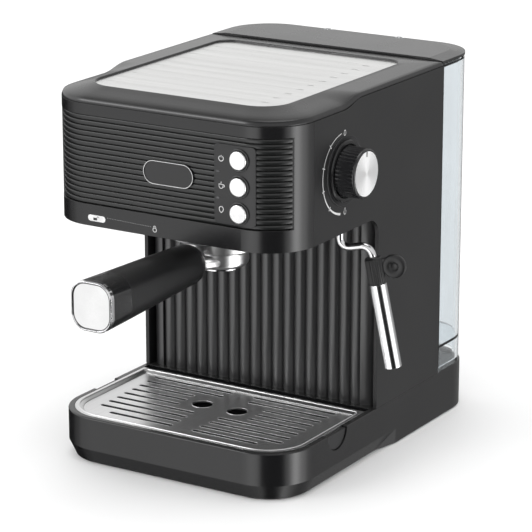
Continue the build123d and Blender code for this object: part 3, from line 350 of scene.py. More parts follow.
TURNING = ShaderGroup(
    "turning_marks",
    (
        ("Vector", "INPUT", "NodeSocketVector"),
        ("Centre", "INPUT", "NodeSocketVector"),
        ("Across", "INPUT", "NodeSocketVector"),
        ("Fineness", "INPUT", "NodeSocketFloat"),
        ("Height", "OUTPUT", "NodeSocketFloat"),
        ("Streak", "OUTPUT", "NodeSocketFloat"),
    ),
    wire_turning,
)


def wire_dust(graph: Graph, given: bpy.types.Node, out: bpy.types.Node) -> None:
    """A trace of dust on faces that look up, in soft patches.

    Args:
        graph: The group's graph.
        given: Its input node.
        out: Its output node.
    """
    face = graph.add("ShaderNodeNewGeometry")
    parts = graph.add("ShaderNodeSeparateXYZ", {0: face.outputs["Normal"]})
    upward = graph.add(
        "ShaderNodeMapRange", {"Value": parts.outputs[2], "From Min": 0.55, "From Max": 1.0}
    )
    patch = graph.add(
        "ShaderNodeTexNoise", {"Vector": given.outputs["Vector"], "Scale": 24.0, "Detail": 5.0}
    )
    share = graph.math("MULTIPLY", upward.outputs[0], patch.outputs["Fac"])
    graph.tree.links.new(graph.math("MULTIPLY", share, given.outputs["Amount"]), out.inputs["Mask"])


DUST = ShaderGroup(
    "settled_dust",
    (
        ("Vector", "INPUT", "NodeSocketVector"),
        ("Amount", "INPUT", "NodeSocketFloat"),
        ("Mask", "OUTPUT", "NodeSocketFloat"),
    ),
    wire_dust,
)


# ---- finishes -----------------------------------------------------------------------------------
def fresh_material(name: str) -> tuple[bpy.types.Material, Graph, bpy.types.Node, bpy.types.NodeSocket]:
    """Start a node-based material.

    Args:
        name: The finish's name.

    Returns:
        The material, its graph, its surface shader and the object coordinates.
    """
    material = bpy.data.materials.new(name)
    material.use_nodes = True
    graph = Graph(material.node_tree)
    shader = next(node for node in material.node_tree.nodes if node.type == "BSDF_PRINCIPLED")
    place = graph.add("ShaderNodeTexCoord").outputs["Object"]
    return material, graph, shader, place


def opaque(shade: Colour) -> tuple[float, float, float, float]:
    """The colour with full alpha."""
    return (*shade, 1.0)


@dataclass(frozen=True)
class Moulded:
    """Moulded plastic, rubber or paint: grain, cloudy tint, rubbed edges and a little dust."""

    name: str
    shade: Colour
    rub: Colour
    roughness: float = 0.4
    spread: float = 0.08
    fineness: float = 1400.0
    depth: float = 0.00002
    edge: float = 0.0004
    dust: float = 0.05
    gloss: float = 0.5
    coat: float = 0.0

    def material(self) -> bpy.types.Material:
        """The finish as a material, made at its first use."""
        known = bpy.data.materials.get(self.name)
        if known:
            return known
        material, graph, shader, place = fresh_material(self.name)
        grain = GRAIN.place(graph, Vector=place, Fineness=self.fineness, Patches=18.0)
        edge = EDGE.place(graph, Vector=place, Radius=self.edge)
        dust = DUST.place(graph, Vector=place, Amount=self.dust)
        cloudy = tuple(part * 1.22 + 0.001 for part in self.shade)
        base = graph.mix(grain.outputs["Tint"], opaque(self.shade), opaque(cloudy))
        rubbed = graph.mix(edge.outputs["Mask"], base, opaque(self.rub))
        dusty = graph.mix(dust.outputs["Mask"], rubbed, (0.42, 0.41, 0.39, 1.0))
        graph.tree.links.new(dusty, shader.inputs["Base Color"])
        half = self.spread / 2
        rough = graph.span(grain.outputs["Tint"], self.roughness - half, self.roughness + half)
        graph.tree.links.new(graph.math("ADD", rough, dust.outputs["Mask"]), shader.inputs["Roughness"])
        bump = graph.add(
            "ShaderNodeBump",
            {
                "Strength": 1.0,
                "Distance": self.depth,
                "Height": grain.outputs["Height"],
                "Normal": edge.outputs["Normal"],
            },
        )
        graph.tree.links.new(bump.outputs[0], shader.inputs["Normal"])
        shader.inputs["Specular IOR Level"].default_value = self.gloss
        shader.inputs["Coat Weight"].default_value = self.coat
        shader.inputs["Coat Roughness"].default_value = 0.08
        return material


@dataclass(frozen=True)
class Metal:
    """Bare or plated metal with brushed or turned marks and rubbed edges."""

    name: str
    shade: Colour
    roughness: float
    spread: float = 0.08
    lay: Lay = Lay.NONE
    fineness: float = 900.0
    depth: float = 0.00001
    edge: float = 0.0003
    anisotropy: float = 0.0
    centre: Point | None = None
    across: Point = (1.0, 1.0, 0.0)
    axis: str = "Z"

    def material(self) -> bpy.types.Material:
        """The finish as a material, made at its first use."""
        known = bpy.data.materials.get(self.name)
        if known:
            return known
        material, graph, shader, place = fresh_material(self.name)
        if self.centre:
            marks = TURNING.place(
                graph, Vector=place, Centre=self.centre, Across=self.across, Fineness=self.fineness
            )
        else:
            marks = STREAKS.place(graph, Vector=place, Stretch=self.lay.value, Fineness=self.fineness)
        edge = EDGE.place(graph, Vector=place, Radius=self.edge)
        dark = tuple(part * 0.82 for part in self.shade)
        worn = tuple(min(1.0, part * 1.1) for part in self.shade)
        base = graph.mix(marks.outputs["Streak"], opaque(dark), opaque(self.shade))
        rubbed = graph.mix(edge.outputs["Mask"], base, opaque(worn))
        graph.tree.links.new(rubbed, shader.inputs["Base Color"])
        half = self.spread / 2
        rough = graph.span(marks.outputs["Streak"], self.roughness + half, self.roughness - half)
        graph.tree.links.new(rough, shader.inputs["Roughness"])
        bump = graph.add(
            "ShaderNodeBump",
            {
                "Strength": 1.0,
                "Distance": self.depth,
                "Height": marks.outputs["Height"],
                "Normal": edge.outputs["Normal"],
            },
        )
        graph.tree.links.new(bump.outputs[0], shader.inputs["Normal"])
        shader.inputs["Metallic"].default_value = 1.0
        shader.inputs["Anisotropic"].default_value = self.anisotropy
        if self.anisotropy:
            tangent = graph.add("ShaderNodeTangent", direction_type="RADIAL", axis=self.axis)
            graph.tree.links.new(tangent.outputs[0], shader.inputs["Tangent"])
        return material


@dataclass(frozen=True)
class ClearMoulding:
    """Clear moulded plastic with faint flow marks."""

    name: str
    shade: Colour
    roughness: float = 0.06

    def material(self) -> bpy.types.Material:
        """The finish as a material, made at its first use."""
        known = bpy.data.materials.get(self.name)
        if known:
            return known
        material, graph, shader, place = fresh_material(self.name)
        flow = GRAIN.place(graph, Vector=place, Fineness=160.0, Patches=14.0)
        deep = tuple(part * 0.93 for part in self.shade)
        tint = graph.mix(flow.outputs["Tint"], opaque(deep), opaque(self.shade))
        graph.tree.links.new(tint, shader.inputs["Base Color"])
        rough = graph.span(flow.outputs["Tint"], self.roughness, self.roughness * 2.0)
        graph.tree.links.new(rough, shader.inputs["Roughness"])
        bump = graph.add(
            "ShaderNodeBump", {"Strength": 0.4, "Distance": 0.00001, "Height": flow.outputs["Height"]}
        )
        graph.tree.links.new(bump.outputs[0], shader.inputs["Normal"])
        shader.inputs["Transmission Weight"].default_value = 1.0
        shader.inputs["IOR"].default_value = 1.32
        return material


@dataclass(frozen=True)
class Print:
    """Printed ink, slightly uneven."""

    name: str
    shade: Colour

    def material(self) -> bpy.types.Material:
        """The finish as a material, made at its first use."""
        known = bpy.data.materials.get(self.name)
        if known:
            return known
        material, graph, shader, place = fresh_material(self.name)
        ink = GRAIN.place(graph, Vector=place, Fineness=3000.0, Patches=220.0)
        thin = tuple(part * 0.82 for part in self.shade)
        base = graph.mix(ink.outputs["Tint"], opaque(thin), opaque(self.shade))
        graph.tree.links.new(base, shader.inputs["Base Color"])
        graph.tree.links.new(graph.span(ink.outputs["Tint"], 0.4, 0.55), shader.inputs["Roughness"])
        bump = graph.add(
            "ShaderNodeBump", {"Strength": 0.3, "Distance": 0.00001, "Height": ink.outputs["Height"]}
        )
        graph.tree.links.new(bump.outputs[0], shader.inputs["Normal"])
        return material


Finish = Moulded | Metal | ClearMoulding | Print

SATIN_BLACK = Moulded(
    "satin_black_moulding", (0.0065, 0.0065, 0.007), (0.02, 0.02, 0.021), 0.2, 0.04, 1600.0, 0.000003,
)
MATT_SIDE = Moulded(
    "matt_side_sheet", (0.0095, 0.0095, 0.010), (0.04, 0.04, 0.041),
    0.42, 0.06, 1100.0, 0.000008, gloss=0.4,
)
RIM_BLACK = Moulded(
    "satin_top_frame", (0.010, 0.010, 0.0105), (0.03, 0.03, 0.03), 0.24, 0.04, 1600.0, 0.000003,
)
RIB_BLACK = Moulded(
    "ribbed_moulding", (0.0085, 0.009, 0.009), (0.03, 0.03, 0.03), 0.24, 0.04, 1600.0, 0.000003,
)
FLUTE_BLACK = Moulded(
    "fluted_moulding", (0.015, 0.015, 0.016), (0.04, 0.04, 0.04),
    0.36, 0.04, 1400.0, 0.000002, gloss=0.95,
)
PANEL_BLACK = Moulded(
    "control_panel_moulding", (0.008, 0.008, 0.0085), (0.03, 0.03, 0.03), 0.34, 0.05, 1800.0, 0.000005,
)
# Dark inner parts; the same finish also colours the painted-shade bead sunk in the drip grid's slots.
DEEP_BLACK = Moulded(
    "dark_moulding_and_painted_shade", (0.010, 0.010, 0.011), (0.03, 0.03, 0.03), 0.55, 0.08, 900.0, 0.00001,
)
HANDLE_BLACK = Moulded(
    "handle_grip_moulding", (0.007, 0.007, 0.0075), (0.02, 0.02, 0.02), 0.36, 0.05, 1800.0, 0.000006,
)
BAND_BLACK = Moulded(
    "handle_band_gloss", (0.008, 0.008, 0.0085), (0.02, 0.02, 0.02),
    0.2, 0.04, 1200.0, 0.000002, coat=0.3,
)
KNOB_BLACK = Moulded(
    "knob_gloss", (0.008, 0.008, 0.009), (0.03, 0.03, 0.03), 0.26, 0.04, 1200.0, 0.000003, coat=0.3,
)
GRIP_RUBBER = Moulded(
    "wand_grip_rubber", (0.006, 0.006, 0.0065), (0.02, 0.02, 0.02), 0.38, 0.06, 1500.0, 0.000006,
)
SOFT_RUBBER = Moulded(
    "soft_rubber", (0.012, 0.012, 0.012), (0.03, 0.03, 0.03), 0.6, 0.08, 1500.0, 0.00002,
)
FOOT_RUBBER = Moulded("foot_rubber", (0.02, 0.02, 0.02), (0.04, 0.04, 0.04), 0.7, 0.08, 1200.0, 0.00003)
HOSE_RUBBER = Moulded(
    "silicone_hose", (0.42, 0.40, 0.36), (0.5, 0.48, 0.45), 0.45, 0.08, 900.0, 0.00001,
)
BOARD_GREEN = Moulded(
    "circuit_board_lacquer", (0.01, 0.11, 0.045), (0.03, 0.2, 0.08), 0.35, 0.08, 1600.0, 0.00001,
)
LAMP_DARK = Moulded(
    "unlit_lamp_lens", (0.030, 0.030, 0.032), (0.05, 0.05, 0.05), 0.2, 0.04, 900.0, 0.000003, coat=0.5,
)
PLATE_STEEL = Metal(
    "brushed_warmer_plate", (0.84, 0.84, 0.83), 0.26, 0.06, Lay.ALONG_X, 500.0, 0.000001,
)
GRID_STEEL = Metal("brushed_drip_grid", (0.82, 0.82, 0.82), 0.3, 0.05, Lay.ALONG_Y, 500.0, 0.0000004)
CHROME = Metal("bright_chrome", (0.80, 0.80, 0.81), 0.06, 0.03, Lay.NONE, 300.0, 0.000001)
SLEEVE_STEEL = Metal(
    "polished_sleeve_steel", (0.80, 0.80, 0.81), 0.14, 0.06, Lay.ALONG_Z, 900.0, 0.000003,
)
PLAIN_STEEL = Metal("plain_steel", (0.62, 0.62, 0.63), 0.3, 0.1, Lay.NONE, 800.0, 0.00001)
BOWL_CHROME = Metal("satin_chrome_bowl", (0.92, 0.92, 0.92), 0.3, 0.04, Lay.NONE, 700.0, 0.0000006)
CAST_ALLOY = Metal("cast_alloy", (0.50, 0.50, 0.51), 0.48, 0.14, Lay.NONE, 1500.0, 0.00004)
BRASS = Metal("turned_brass", (0.72, 0.53, 0.26), 0.28, 0.1, Lay.NONE, 900.0, 0.00001)
END_SATIN = Metal("satin_end_insert", (0.80, 0.80, 0.80), 0.42, 0.08, Lay.NONE, 1500.0, 0.000006)
TANK_CLEAR = ClearMoulding("clear_tank_moulding", (0.90, 0.935, 0.955))
INK_WHITE = Print("white_print", (0.80, 0.80, 0.80))
INK_GREY = Print("grey_print", (0.34, 0.34, 0.34))
INK_BLACK = Print("black_print", (0.008, 0.008, 0.008))


# ---- meshes -------------------------------------------------------------------------------------
def as_metres(points: Iterable[Sequence[float]]) -> list[Vector]:
    """Points in millimetres as vectors in metres."""
    return [Vector(point) * MM for point in points]


def show(name: str, mesh: bpy.types.Mesh, finish: Finish, smooth_deg: float = 30.0) -> bpy.types.Object:
    """Put a finished mesh in the scene as one piece.

    Args:
        name: The piece's name.
        mesh: Its mesh, in place.
        finish: What it is made of.
        smooth_deg: Edges sharper than this stay sharp.

    Returns:
        The piece's object.
    """
    mesh.name = name
    mesh.materials.clear()
    mesh.materials.append(finish.material())
    mesh.polygons.foreach_set("material_index", [0] * len(mesh.polygons))
    mesh.shade_smooth()
    mesh.set_sharp_from_angle(angle=math.radians(smooth_deg))
    piece = bpy.data.objects.new(name, mesh)
    bpy.context.scene.collection.objects.link(piece)
    return piece


def settle(work: bmesh.types.BMesh, gap: float = 0.000001) -> bpy.types.Mesh:
    """Close a mesh's seams and turn its faces outwards.

    Args:
        work: The mesh that was built, which is freed.
        gap: Corners nearer than this are merged.

    Returns:
        The plain mesh.
    """
    bmesh.ops.remove_doubles(work, verts=work.verts, dist=gap)
    bmesh.ops.recalc_face_normals(work, faces=work.faces)
    mesh = bpy.data.meshes.new("piece")
    work.to_mesh(mesh)
    work.free()
    return mesh


def loft(rings: Sequence[Sequence[Vector]], capped: bool = True, closed: bool = False) -> bpy.types.Mesh:
    """A skin over rings that have the same number of points.

    Args:
        rings: Closed rings, one after another.
        capped: Whether the first and last ring are filled.
        closed: Whether the last ring joins the first.

    Returns:
        The skinned mesh.
    """
    work = bmesh.new()
    rows = [[work.verts.new(point) for point in ring] for ring in rings]
    pairs = list(zip(rows, rows[1:])) + ([(rows[-1], rows[0])] if closed else [])
    for low, high in pairs:
        for i in range(len(low)):
            j = (i + 1) % len(low)
            work.faces.new((low[i], low[j], high[j], high[i]))
    if capped and not closed:
        work.faces.new(list(reversed(rows[0])))
        work.faces.new(rows[-1])
    return settle(work)


def rounded_outline(
    low: Spot, high: Spot, radii: Sequence[float], step: float = 6.0, turns: int = 14
) -> list[Spot]:
    """A rectangle's outline with rounded corners, in millimetres, with a fixed count of points.

    Args:
        low: Its lowest x and y.
        high: Its highest x and y.
        radii: Corner radii from the low x, low y corner, going anticlockwise.
        step: The nominal spacing that sets the count of points along a side of 200 mm.
        turns: Steps round each corner.

    Returns:
        The outline's points, anticlockwise.
    """
    corners = ((low[0], low[1], 180), (high[0], low[1], 270), (high[0], high[1], 0), (low[0], high[1], 90))
    sides = round(200 / step)
    arcs = []
    for (x, y, start), radius in zip(corners, radii):
        cx = x + (radius if x == low[0] else -radius)
        cy = y + (radius if y == low[1] else -radius)
        angles = [math.radians(start + 90 * k / turns) for k in range(turns + 1)]
        arcs.append([(cx + radius * math.cos(a), cy + radius * math.sin(a)) for a in angles])
    outline = []
    for k, arc in enumerate(arcs):
        after = arcs[(k + 1) % 4][0]
        outline += arc
        end = arc[-1]
        for i in range(1, sides):
            share = i / sides
            outline.append((end[0] + (after[0] - end[0]) * share, end[1] + (after[1] - end[1]) * share))
    return outline


def smooth_step(low: float, high: float, value: float) -> float:
    """0 below low, 1 above high, and an S between them."""
    share = min(1.0, max(0.0, (value - low) / (high - low)))
    return share * share * (3 - 2 * share)


@dataclass(frozen=True)
class Face:
    """A flat place to print on: an origin and the directions of its right and up, in millimetres."""

    origin: Point
    right: Point
    up: Point

    def point(self, across: float, height: float, lift: float = 0.0) -> Vector:
        """A place on the face.

        Args:
            across: Millimetres along right.
            height: Millimetres along up.
            lift: Millimetres off the face.

        Returns:
            The point in metres.
        """
        right, up = Vector(self.right), Vector(self.up)
        return (Vector(self.origin) + right * across + up * height + right.cross(up) * lift) * MM


@dataclass
class PrintSheet:
    """Marks printed on one face, gathered into one thin mesh."""

    face: Face
    lift: float = 0.04

    def __post_init__(self) -> None:
        """Start with nothing printed."""
        self.work = bmesh.new()

    def stroke(
        self, points: Sequence[Spot], width: float | Sequence[float], closed: bool = False
    ) -> None:
        """Print a line.

        Args:
            points: Its path on the face.
            width: Its width, or one width for each point.
            closed: Whether its end joins its start.
        """
        count = len(points)
        widths = [width] * count if isinstance(width, (int, float)) else list(width)
        edges = []
        for i, (x, y) in enumerate(points):
            before = points[(i - 1) % count] if closed or i else points[i]
            after = points[(i + 1) % count] if closed or i < count - 1 else points[i]
            along = Vector((after[0] - before[0], after[1] - before[1]))
            along.normalize()
            side = Vector((-along.y, along.x)) * widths[i] / 2
            ends = [self.face.point(x + s * side.x, y + s * side.y, self.lift) for s in (1, -1)]
            edges.append([self.work.verts.new(end) for end in ends])
        for i in range(count if closed else count - 1):
            a, b = edges[i], edges[(i + 1) % count]
            self.work.faces.new((a[0], a[1], b[1], b[0]))

    def fill(self, points: Sequence[Spot]) -> None:
        """Print a filled shape.

        Args:
            points: Its outline on the face.
        """
        self.work.faces.new([self.work.verts.new(self.face.point(x, y, self.lift)) for x, y in points])

    def finish(self, name: str, finish: Finish, body: Body, slot: str) -> bpy.types.Object:
        """Put the marks in the scene.

        Args:
            name: The piece's name.
            finish: The ink.
            body: What they ride on.
            slot: Not used.

        Returns:
            The piece's object.
        """
        outward = Vector(self.face.right).cross(Vector(self.face.up))
        for face in self.work.faces:
            face.normal_update()
            if face.normal.dot(outward) < 0:
                face.normal_flip()
        mesh = bpy.data.meshes.new(name)
        self.work.to_mesh(mesh)
        self.work.free()
        piece = show(name, mesh, finish)
        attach(piece, body.value)
        return piece


def ring_points(
    x: float, y: float, radius: float, low: float = 0.0, high: float = 360.0, count: int = 24
) -> list[Spot]:
    """Points on an arc.

    Args:
        x: The centre's place across.
        y: The centre's height.
        radius: The arc's radius.
        low: Its first angle in degrees.
        high: Its last angle in degrees.
        count: How many steps it has.

    Returns:
        The arc's points, with the last one left out of a full turn.
    """
    last = count if high - low >= 360.0 else count + 1
    angles = [math.radians(low + (high - low) * k / count) for k in range(last)]
    return [(x + radius * math.cos(a), y + radius * math.sin(a)) for a in angles]


# ---- geometry trees -----------------------------------------------------------------------------
@dataclass
class Generator:
    """A geometry node tree with named inputs that makes one piece's plain mesh."""

    name: str
    inputs: dict[str, object]

    def __post_init__(self) -> None:
        """Open the tree and its sockets."""
        self.tree = bpy.data.node_groups.new(self.name, "GeometryNodeTree")
        face = self.tree.interface
        face.new_socket(name="Geometry", in_out="INPUT", socket_type="NodeSocketGeometry")
        self.keys = {}
        for label, value in self.inputs.items():
            kind = {bool: "Bool", int: "Int", float: "Float"}.get(type(value))
            if kind is None:
                kind = "Material" if isinstance(value, bpy.types.Material) else "Vector"
            socket = face.new_socket(name=label, in_out="INPUT", socket_type=f"NodeSocket{kind}")
            self.keys[label] = socket.identifier
        face.new_socket(name="Geometry", in_out="OUTPUT", socket_type="NodeSocketGeometry")
        self.graph = Graph(self.tree)
        self.given = self.graph.add("NodeGroupInput")
        self.out = self.graph.add("NodeGroupOutput")

    def value(self, label: str) -> bpy.types.NodeSocket:
        """The socket of a named input."""
        return self.given.outputs[label]

    def end(self, geometry: bpy.types.NodeSocket) -> None:
        """Close the tree with real geometry and its material.

        Args:
            geometry: The socket to hand on.
        """
        real = self.graph.add("GeometryNodeRealizeInstances", {"Geometry": geometry})
        dressed = self.graph.add(
            "GeometryNodeSetMaterial", {0: real.outputs[0], "Material": self.value("Material")}
        )
        self.tree.links.new(dressed.outputs[0], self.out.inputs[0])

    def make(self, base: bpy.types.ID | None = None) -> bpy.types.Mesh:
        """Run the tree.

        Args:
            base: The mesh or curve that it starts from, if any.

        Returns:
            The plain mesh.
        """
        holder = bpy.data.objects.new(f"{self.name}_holder", base or bpy.data.meshes.new("empty"))
        bpy.context.scene.collection.objects.link(holder)
        modifier = holder.modifiers.new(self.name, "NODES")
        modifier.node_group = self.tree
        for label, value in self.inputs.items():
            modifier[self.keys[label]] = value
        graph = bpy.context.evaluated_depsgraph_get()
        graph.update()
        mesh = bpy.data.meshes.new_from_object(holder.evaluated_get(graph), depsgraph=graph)
        holder.modifiers.remove(modifier)
        bpy.data.objects.remove(holder)
        return mesh


def path_curve(name: str, points: Sequence[Vector], closed: bool = False) -> bpy.types.Curve:
    """A plain poly curve.

    Args:
        name: The curve's name.
        points: Its points in metres.
        closed: Whether it is a loop.

    Returns:
        The curve's data.
    """
    curve = bpy.data.curves.new(name, "CURVE")
    curve.dimensions = "3D"
    spline = curve.splines.new("POLY")
    spline.points.add(len(points) - 1)
    for spot, point in zip(spline.points, points):
        spot.co = (*point, 1.0)
    spline.use_cyclic_u = closed
    return curve


ROUND_SHARE = 0.26  # the part of a rib's depth that its rounded face takes; the slit takes the rest


class Wave(Enum):
    """The section of one ripple, from its edge to the next."""

    GROOVE = "narrow groove"
    REED = "round reed"
    RIDGE = "soft ridge"
    MOUND = "raised mound"


@dataclass
class RippledSkin:
    """A skin pressed into ripples.

    Each point of the base mesh has the attributes run, how far along the ripples it is in metres,
    outward, the direction that it stands proud in, and share, how much of the depth it takes.
    """

    name: str
    wave: Wave
    pitch: float
    depth: float
    narrow: float = 0.3

    def mesh(self, base: bpy.types.Mesh, finish: Finish) -> bpy.types.Mesh:
        """Press the ripples into a base mesh.

        Args:
            base: The plain skin with its three attributes.
            finish: What it is made of.

        Returns:
            The rippled mesh.
        """
        made = Generator(
            self.name,
            {
                "Pitch": self.pitch,
                "Depth": self.depth,
                "Narrow Share": self.narrow,
                "Material": finish.material(),
            },
        )
        graph = made.graph
        run = graph.attribute("run")
        share = graph.attribute("share")
        outward = graph.attribute("outward", "FLOAT_VECTOR")
        along = graph.math("FRACT", graph.math("DIVIDE", run, made.value("Pitch")))
        sunk = self.section(graph, made, along)
        amount = graph.math("MULTIPLY", graph.math("MULTIPLY", sunk, share), made.value("Depth"))
        inward = graph.math("MULTIPLY", amount, -1.0)
        shift = graph.add("ShaderNodeVectorMath", {0: outward, "Scale": inward}, operation="SCALE")
        moved = graph.add(
            "GeometryNodeSetPosition", {"Geometry": made.given.outputs[0], "Offset": shift.outputs[0]}
        )
        made.end(moved.outputs[0])
        return made.make(base)

    def section(self, graph: Graph, made: Generator, along: bpy.types.NodeSocket) -> bpy.types.NodeSocket:
        """How deep the ripple is, 0 to 1, at a share of its pitch.

        Args:
            graph: The tree's graph.
            made: The generator, for its inputs.
            along: The place within one ripple, 0 to 1.

        Returns:
            The socket that holds the depth.
        """
        centred = graph.math("MULTIPLY_ADD", along, 2.0, -1.0)
        if self.wave is Wave.REED:
            depth = made.value("Depth")
            half = graph.math("MULTIPLY", made.value("Pitch"), 0.5)
            squares = graph.math("ADD", graph.math("POWER", half, 2.0), graph.math("POWER", depth, 2.0))
            radius = graph.math("DIVIDE", graph.math("DIVIDE", squares, 2.0), depth)
            reach = graph.math("POWER", graph.math("MULTIPLY", centred, half), 2.0)
            rise = graph.math("SQRT", graph.math("SUBTRACT", graph.math("POWER", radius, 2.0), reach))
            low = graph.math("SUBTRACT", radius, depth)
            raised = graph.math("DIVIDE", graph.math("SUBTRACT", rise, low), depth)
            return graph.math("SUBTRACT", 1.0, raised)
        if self.wave is Wave.RIDGE:
            turn = graph.math("MULTIPLY", centred, math.pi)
            return graph.math("MULTIPLY_ADD", graph.math("COSINE", turn), 0.5, 0.5)
        away = graph.math("SUBTRACT", 1.0, graph.math("ABSOLUTE", centred))
        if self.wave is Wave.MOUND:
            away = graph.math("ABSOLUTE", centred)
        near = graph.add(
            "ShaderNodeMapRange",
            {
                "Value": away,
                "From Min": 0.0,
                "From Max": made.value("Narrow Share"),
                "To Min": 1.0,
                "To Max": 0.0,
            },
            interpolation_type="SMOOTHSTEP",
        )
        if self.wave is Wave.MOUND:
            return graph.math("MULTIPLY", near.outputs[0], -1.0)
        slit = graph.math("MULTIPLY", near.outputs[0], 1.0 - ROUND_SHARE)
        return graph.math("MULTIPLY_ADD", graph.math("POWER", centred, 2.0), ROUND_SHARE, slit)


@dataclass
class SkinMaker:
    """Rows of points with the attributes that RippledSkin reads."""

    rows: list[list[Vector]]
    runs: Callable[[int, int], float]
    outward: Callable[[int, int], Vector]
    share: Callable[[int, int], float]
    closed_rows: bool = True
    capped: bool = True

    def mesh(self) -> bpy.types.Mesh:
        """Skin the rows and store their attributes.

        Returns:
            The base mesh, its normals outwards.
        """
        work = bmesh.new()
        run_layer = work.verts.layers.float.new("run")
        share_layer = work.verts.layers.float.new("share")
        outward_layer = work.verts.layers.float_vector.new("outward")
        grid = []
        for i, row in enumerate(self.rows):
            line = []
            for j, point in enumerate(row):
                corner = work.verts.new(point)
                corner[run_layer] = self.runs(i, j)
                corner[share_layer] = self.share(i, j)
                corner[outward_layer] = self.outward(i, j)
                line.append(corner)
            grid.append(line)
        for low, high in zip(grid, grid[1:]):
            for j in range(len(low) if self.closed_rows else len(low) - 1):
                k = (j + 1) % len(low)
                work.faces.new((low[j], low[k], high[k], high[j]))
        if self.capped:
            work.faces.new(list(reversed(grid[0])))
            work.faces.new(grid[-1])
        bmesh.ops.recalc_face_normals(work, faces=work.faces)
        mesh = bpy.data.meshes.new("skin")
        work.to_mesh(mesh)
        work.free()
        return mesh


# ---- sub-assemblies -----------------------------------------------------------------------------
def dress(finishes: dict[str, Finish]) -> None:
    """Give the model's own nodes their finishes.

    Args:
        finishes: Node name to finish.
    """
    for node, finish in finishes.items():
        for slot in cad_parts[node].material_slots:
            slot.material = finish.material()
        LOG.info("node %s: %s", node, finish.name)


@dataclass
class Casing:
    """The tub, the side sheets, the head shell, the tank's bulkhead and what the machine stands on."""

    seam_width: float = 0.35

    def dress(self) -> None:
        """Finish the casing's nodes."""
        dress(
            {
                "base_tub": SATIN_BLACK,
                "base_plate": DEEP_BLACK,
                "rubber_feet": FOOT_RUBBER,
                "cord_gland": SOFT_RUBBER,
                "side_panel_left": MATT_SIDE,
                "side_panel_right": MATT_SIDE,
                "head_shell": SATIN_BLACK,
                "head_underside": DEEP_BLACK,
                "rear_bulkhead": DEEP_BLACK,
            }
        )

    def build_seam(self) -> None:
        """Draw the dark joint between the head shell and the right side sheet."""
        low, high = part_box("head_shell")
        face = Face((high.x / MM, high.y / MM, 0), (0, 1, 0), (0, 0, 1))
        sheet = PrintSheet(face, 0.03)
        sheet.stroke([(0, low.z / MM + 0.1), (0, high.z / MM - 0.1)], self.seam_width)
        sheet.finish("side_seam", INK_BLACK, Body.HOUSING, "black_plastic")
        LOG.info("piece side_seam")


@dataclass
class FlutedColumn:
    """The fluted front of the column, between the base and the head."""

    flutes: int = 18
    pitch: float = 9.7
    depth: float = 3.2
    corner: float = 12.0
    corner_turns: int = 14
    per_flute: int = 22
    wall: float = 3.0
    lip: float = 5.0

    def build(self) -> None:
        """Press the flutes into the column's front sheet."""
        low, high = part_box("column_front")
        crest, half = low.y / MM, high.x / MM
        reach = self.flutes * self.pitch / 2
        rear = high.y / MM
        bend_x, bend_y = half - self.corner, crest + self.corner
        turns = self.corner_turns

        def bend(x: float, start: float) -> list[tuple[float, ...]]:
            """A rounded corner about x, which takes none of the flutes' depth."""
            angles = [math.radians(start + 90 * k / turns) for k in range(turns + 1)]
            return [
                (x + self.corner * math.cos(a), bend_y + self.corner * math.sin(a), 0.0, 0.0) for a in angles
            ]

        front = [(-half, rear, 0.0, 0.0), *bend(-bend_x, 180)]
        steps = self.flutes * self.per_flute
        for k in range(steps + 1):
            front.append((-reach + 2 * reach * k / steps, crest, self.pitch * k / self.per_flute, 1.0))
        front += [*bend(bend_x, 270), (half, rear, 0.0, 0.0)]
        inside, lip = half - self.wall, rear - self.lip
        behind = ((inside, rear), (inside, lip), (-inside, lip), (-inside, rear))
        front += [(x, y, 0.0, 0.0) for x, y in behind]
        rows = [as_metres((x, y, z) for x, y, _, _ in front) for z in (low.z / MM, high.z / MM)]
        skin = SkinMaker(
            rows,
            runs=lambda i, j: front[j][2] * MM,
            outward=lambda i, j: Vector((0, -1, 0)),
            share=lambda i, j: front[j][3],
        )
        ripples = RippledSkin("column_flutes", Wave.REED, self.pitch * MM, self.depth * MM)
        mesh = ripples.mesh(skin.mesh(), FLUTE_BLACK)
        piece = show("fluted_column", mesh, FLUTE_BLACK, 35.0)
        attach(piece, Body.HOUSING.value)
        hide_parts("column_front")
        LOG.info("piece %s: %d flutes", piece.name, self.flutes)


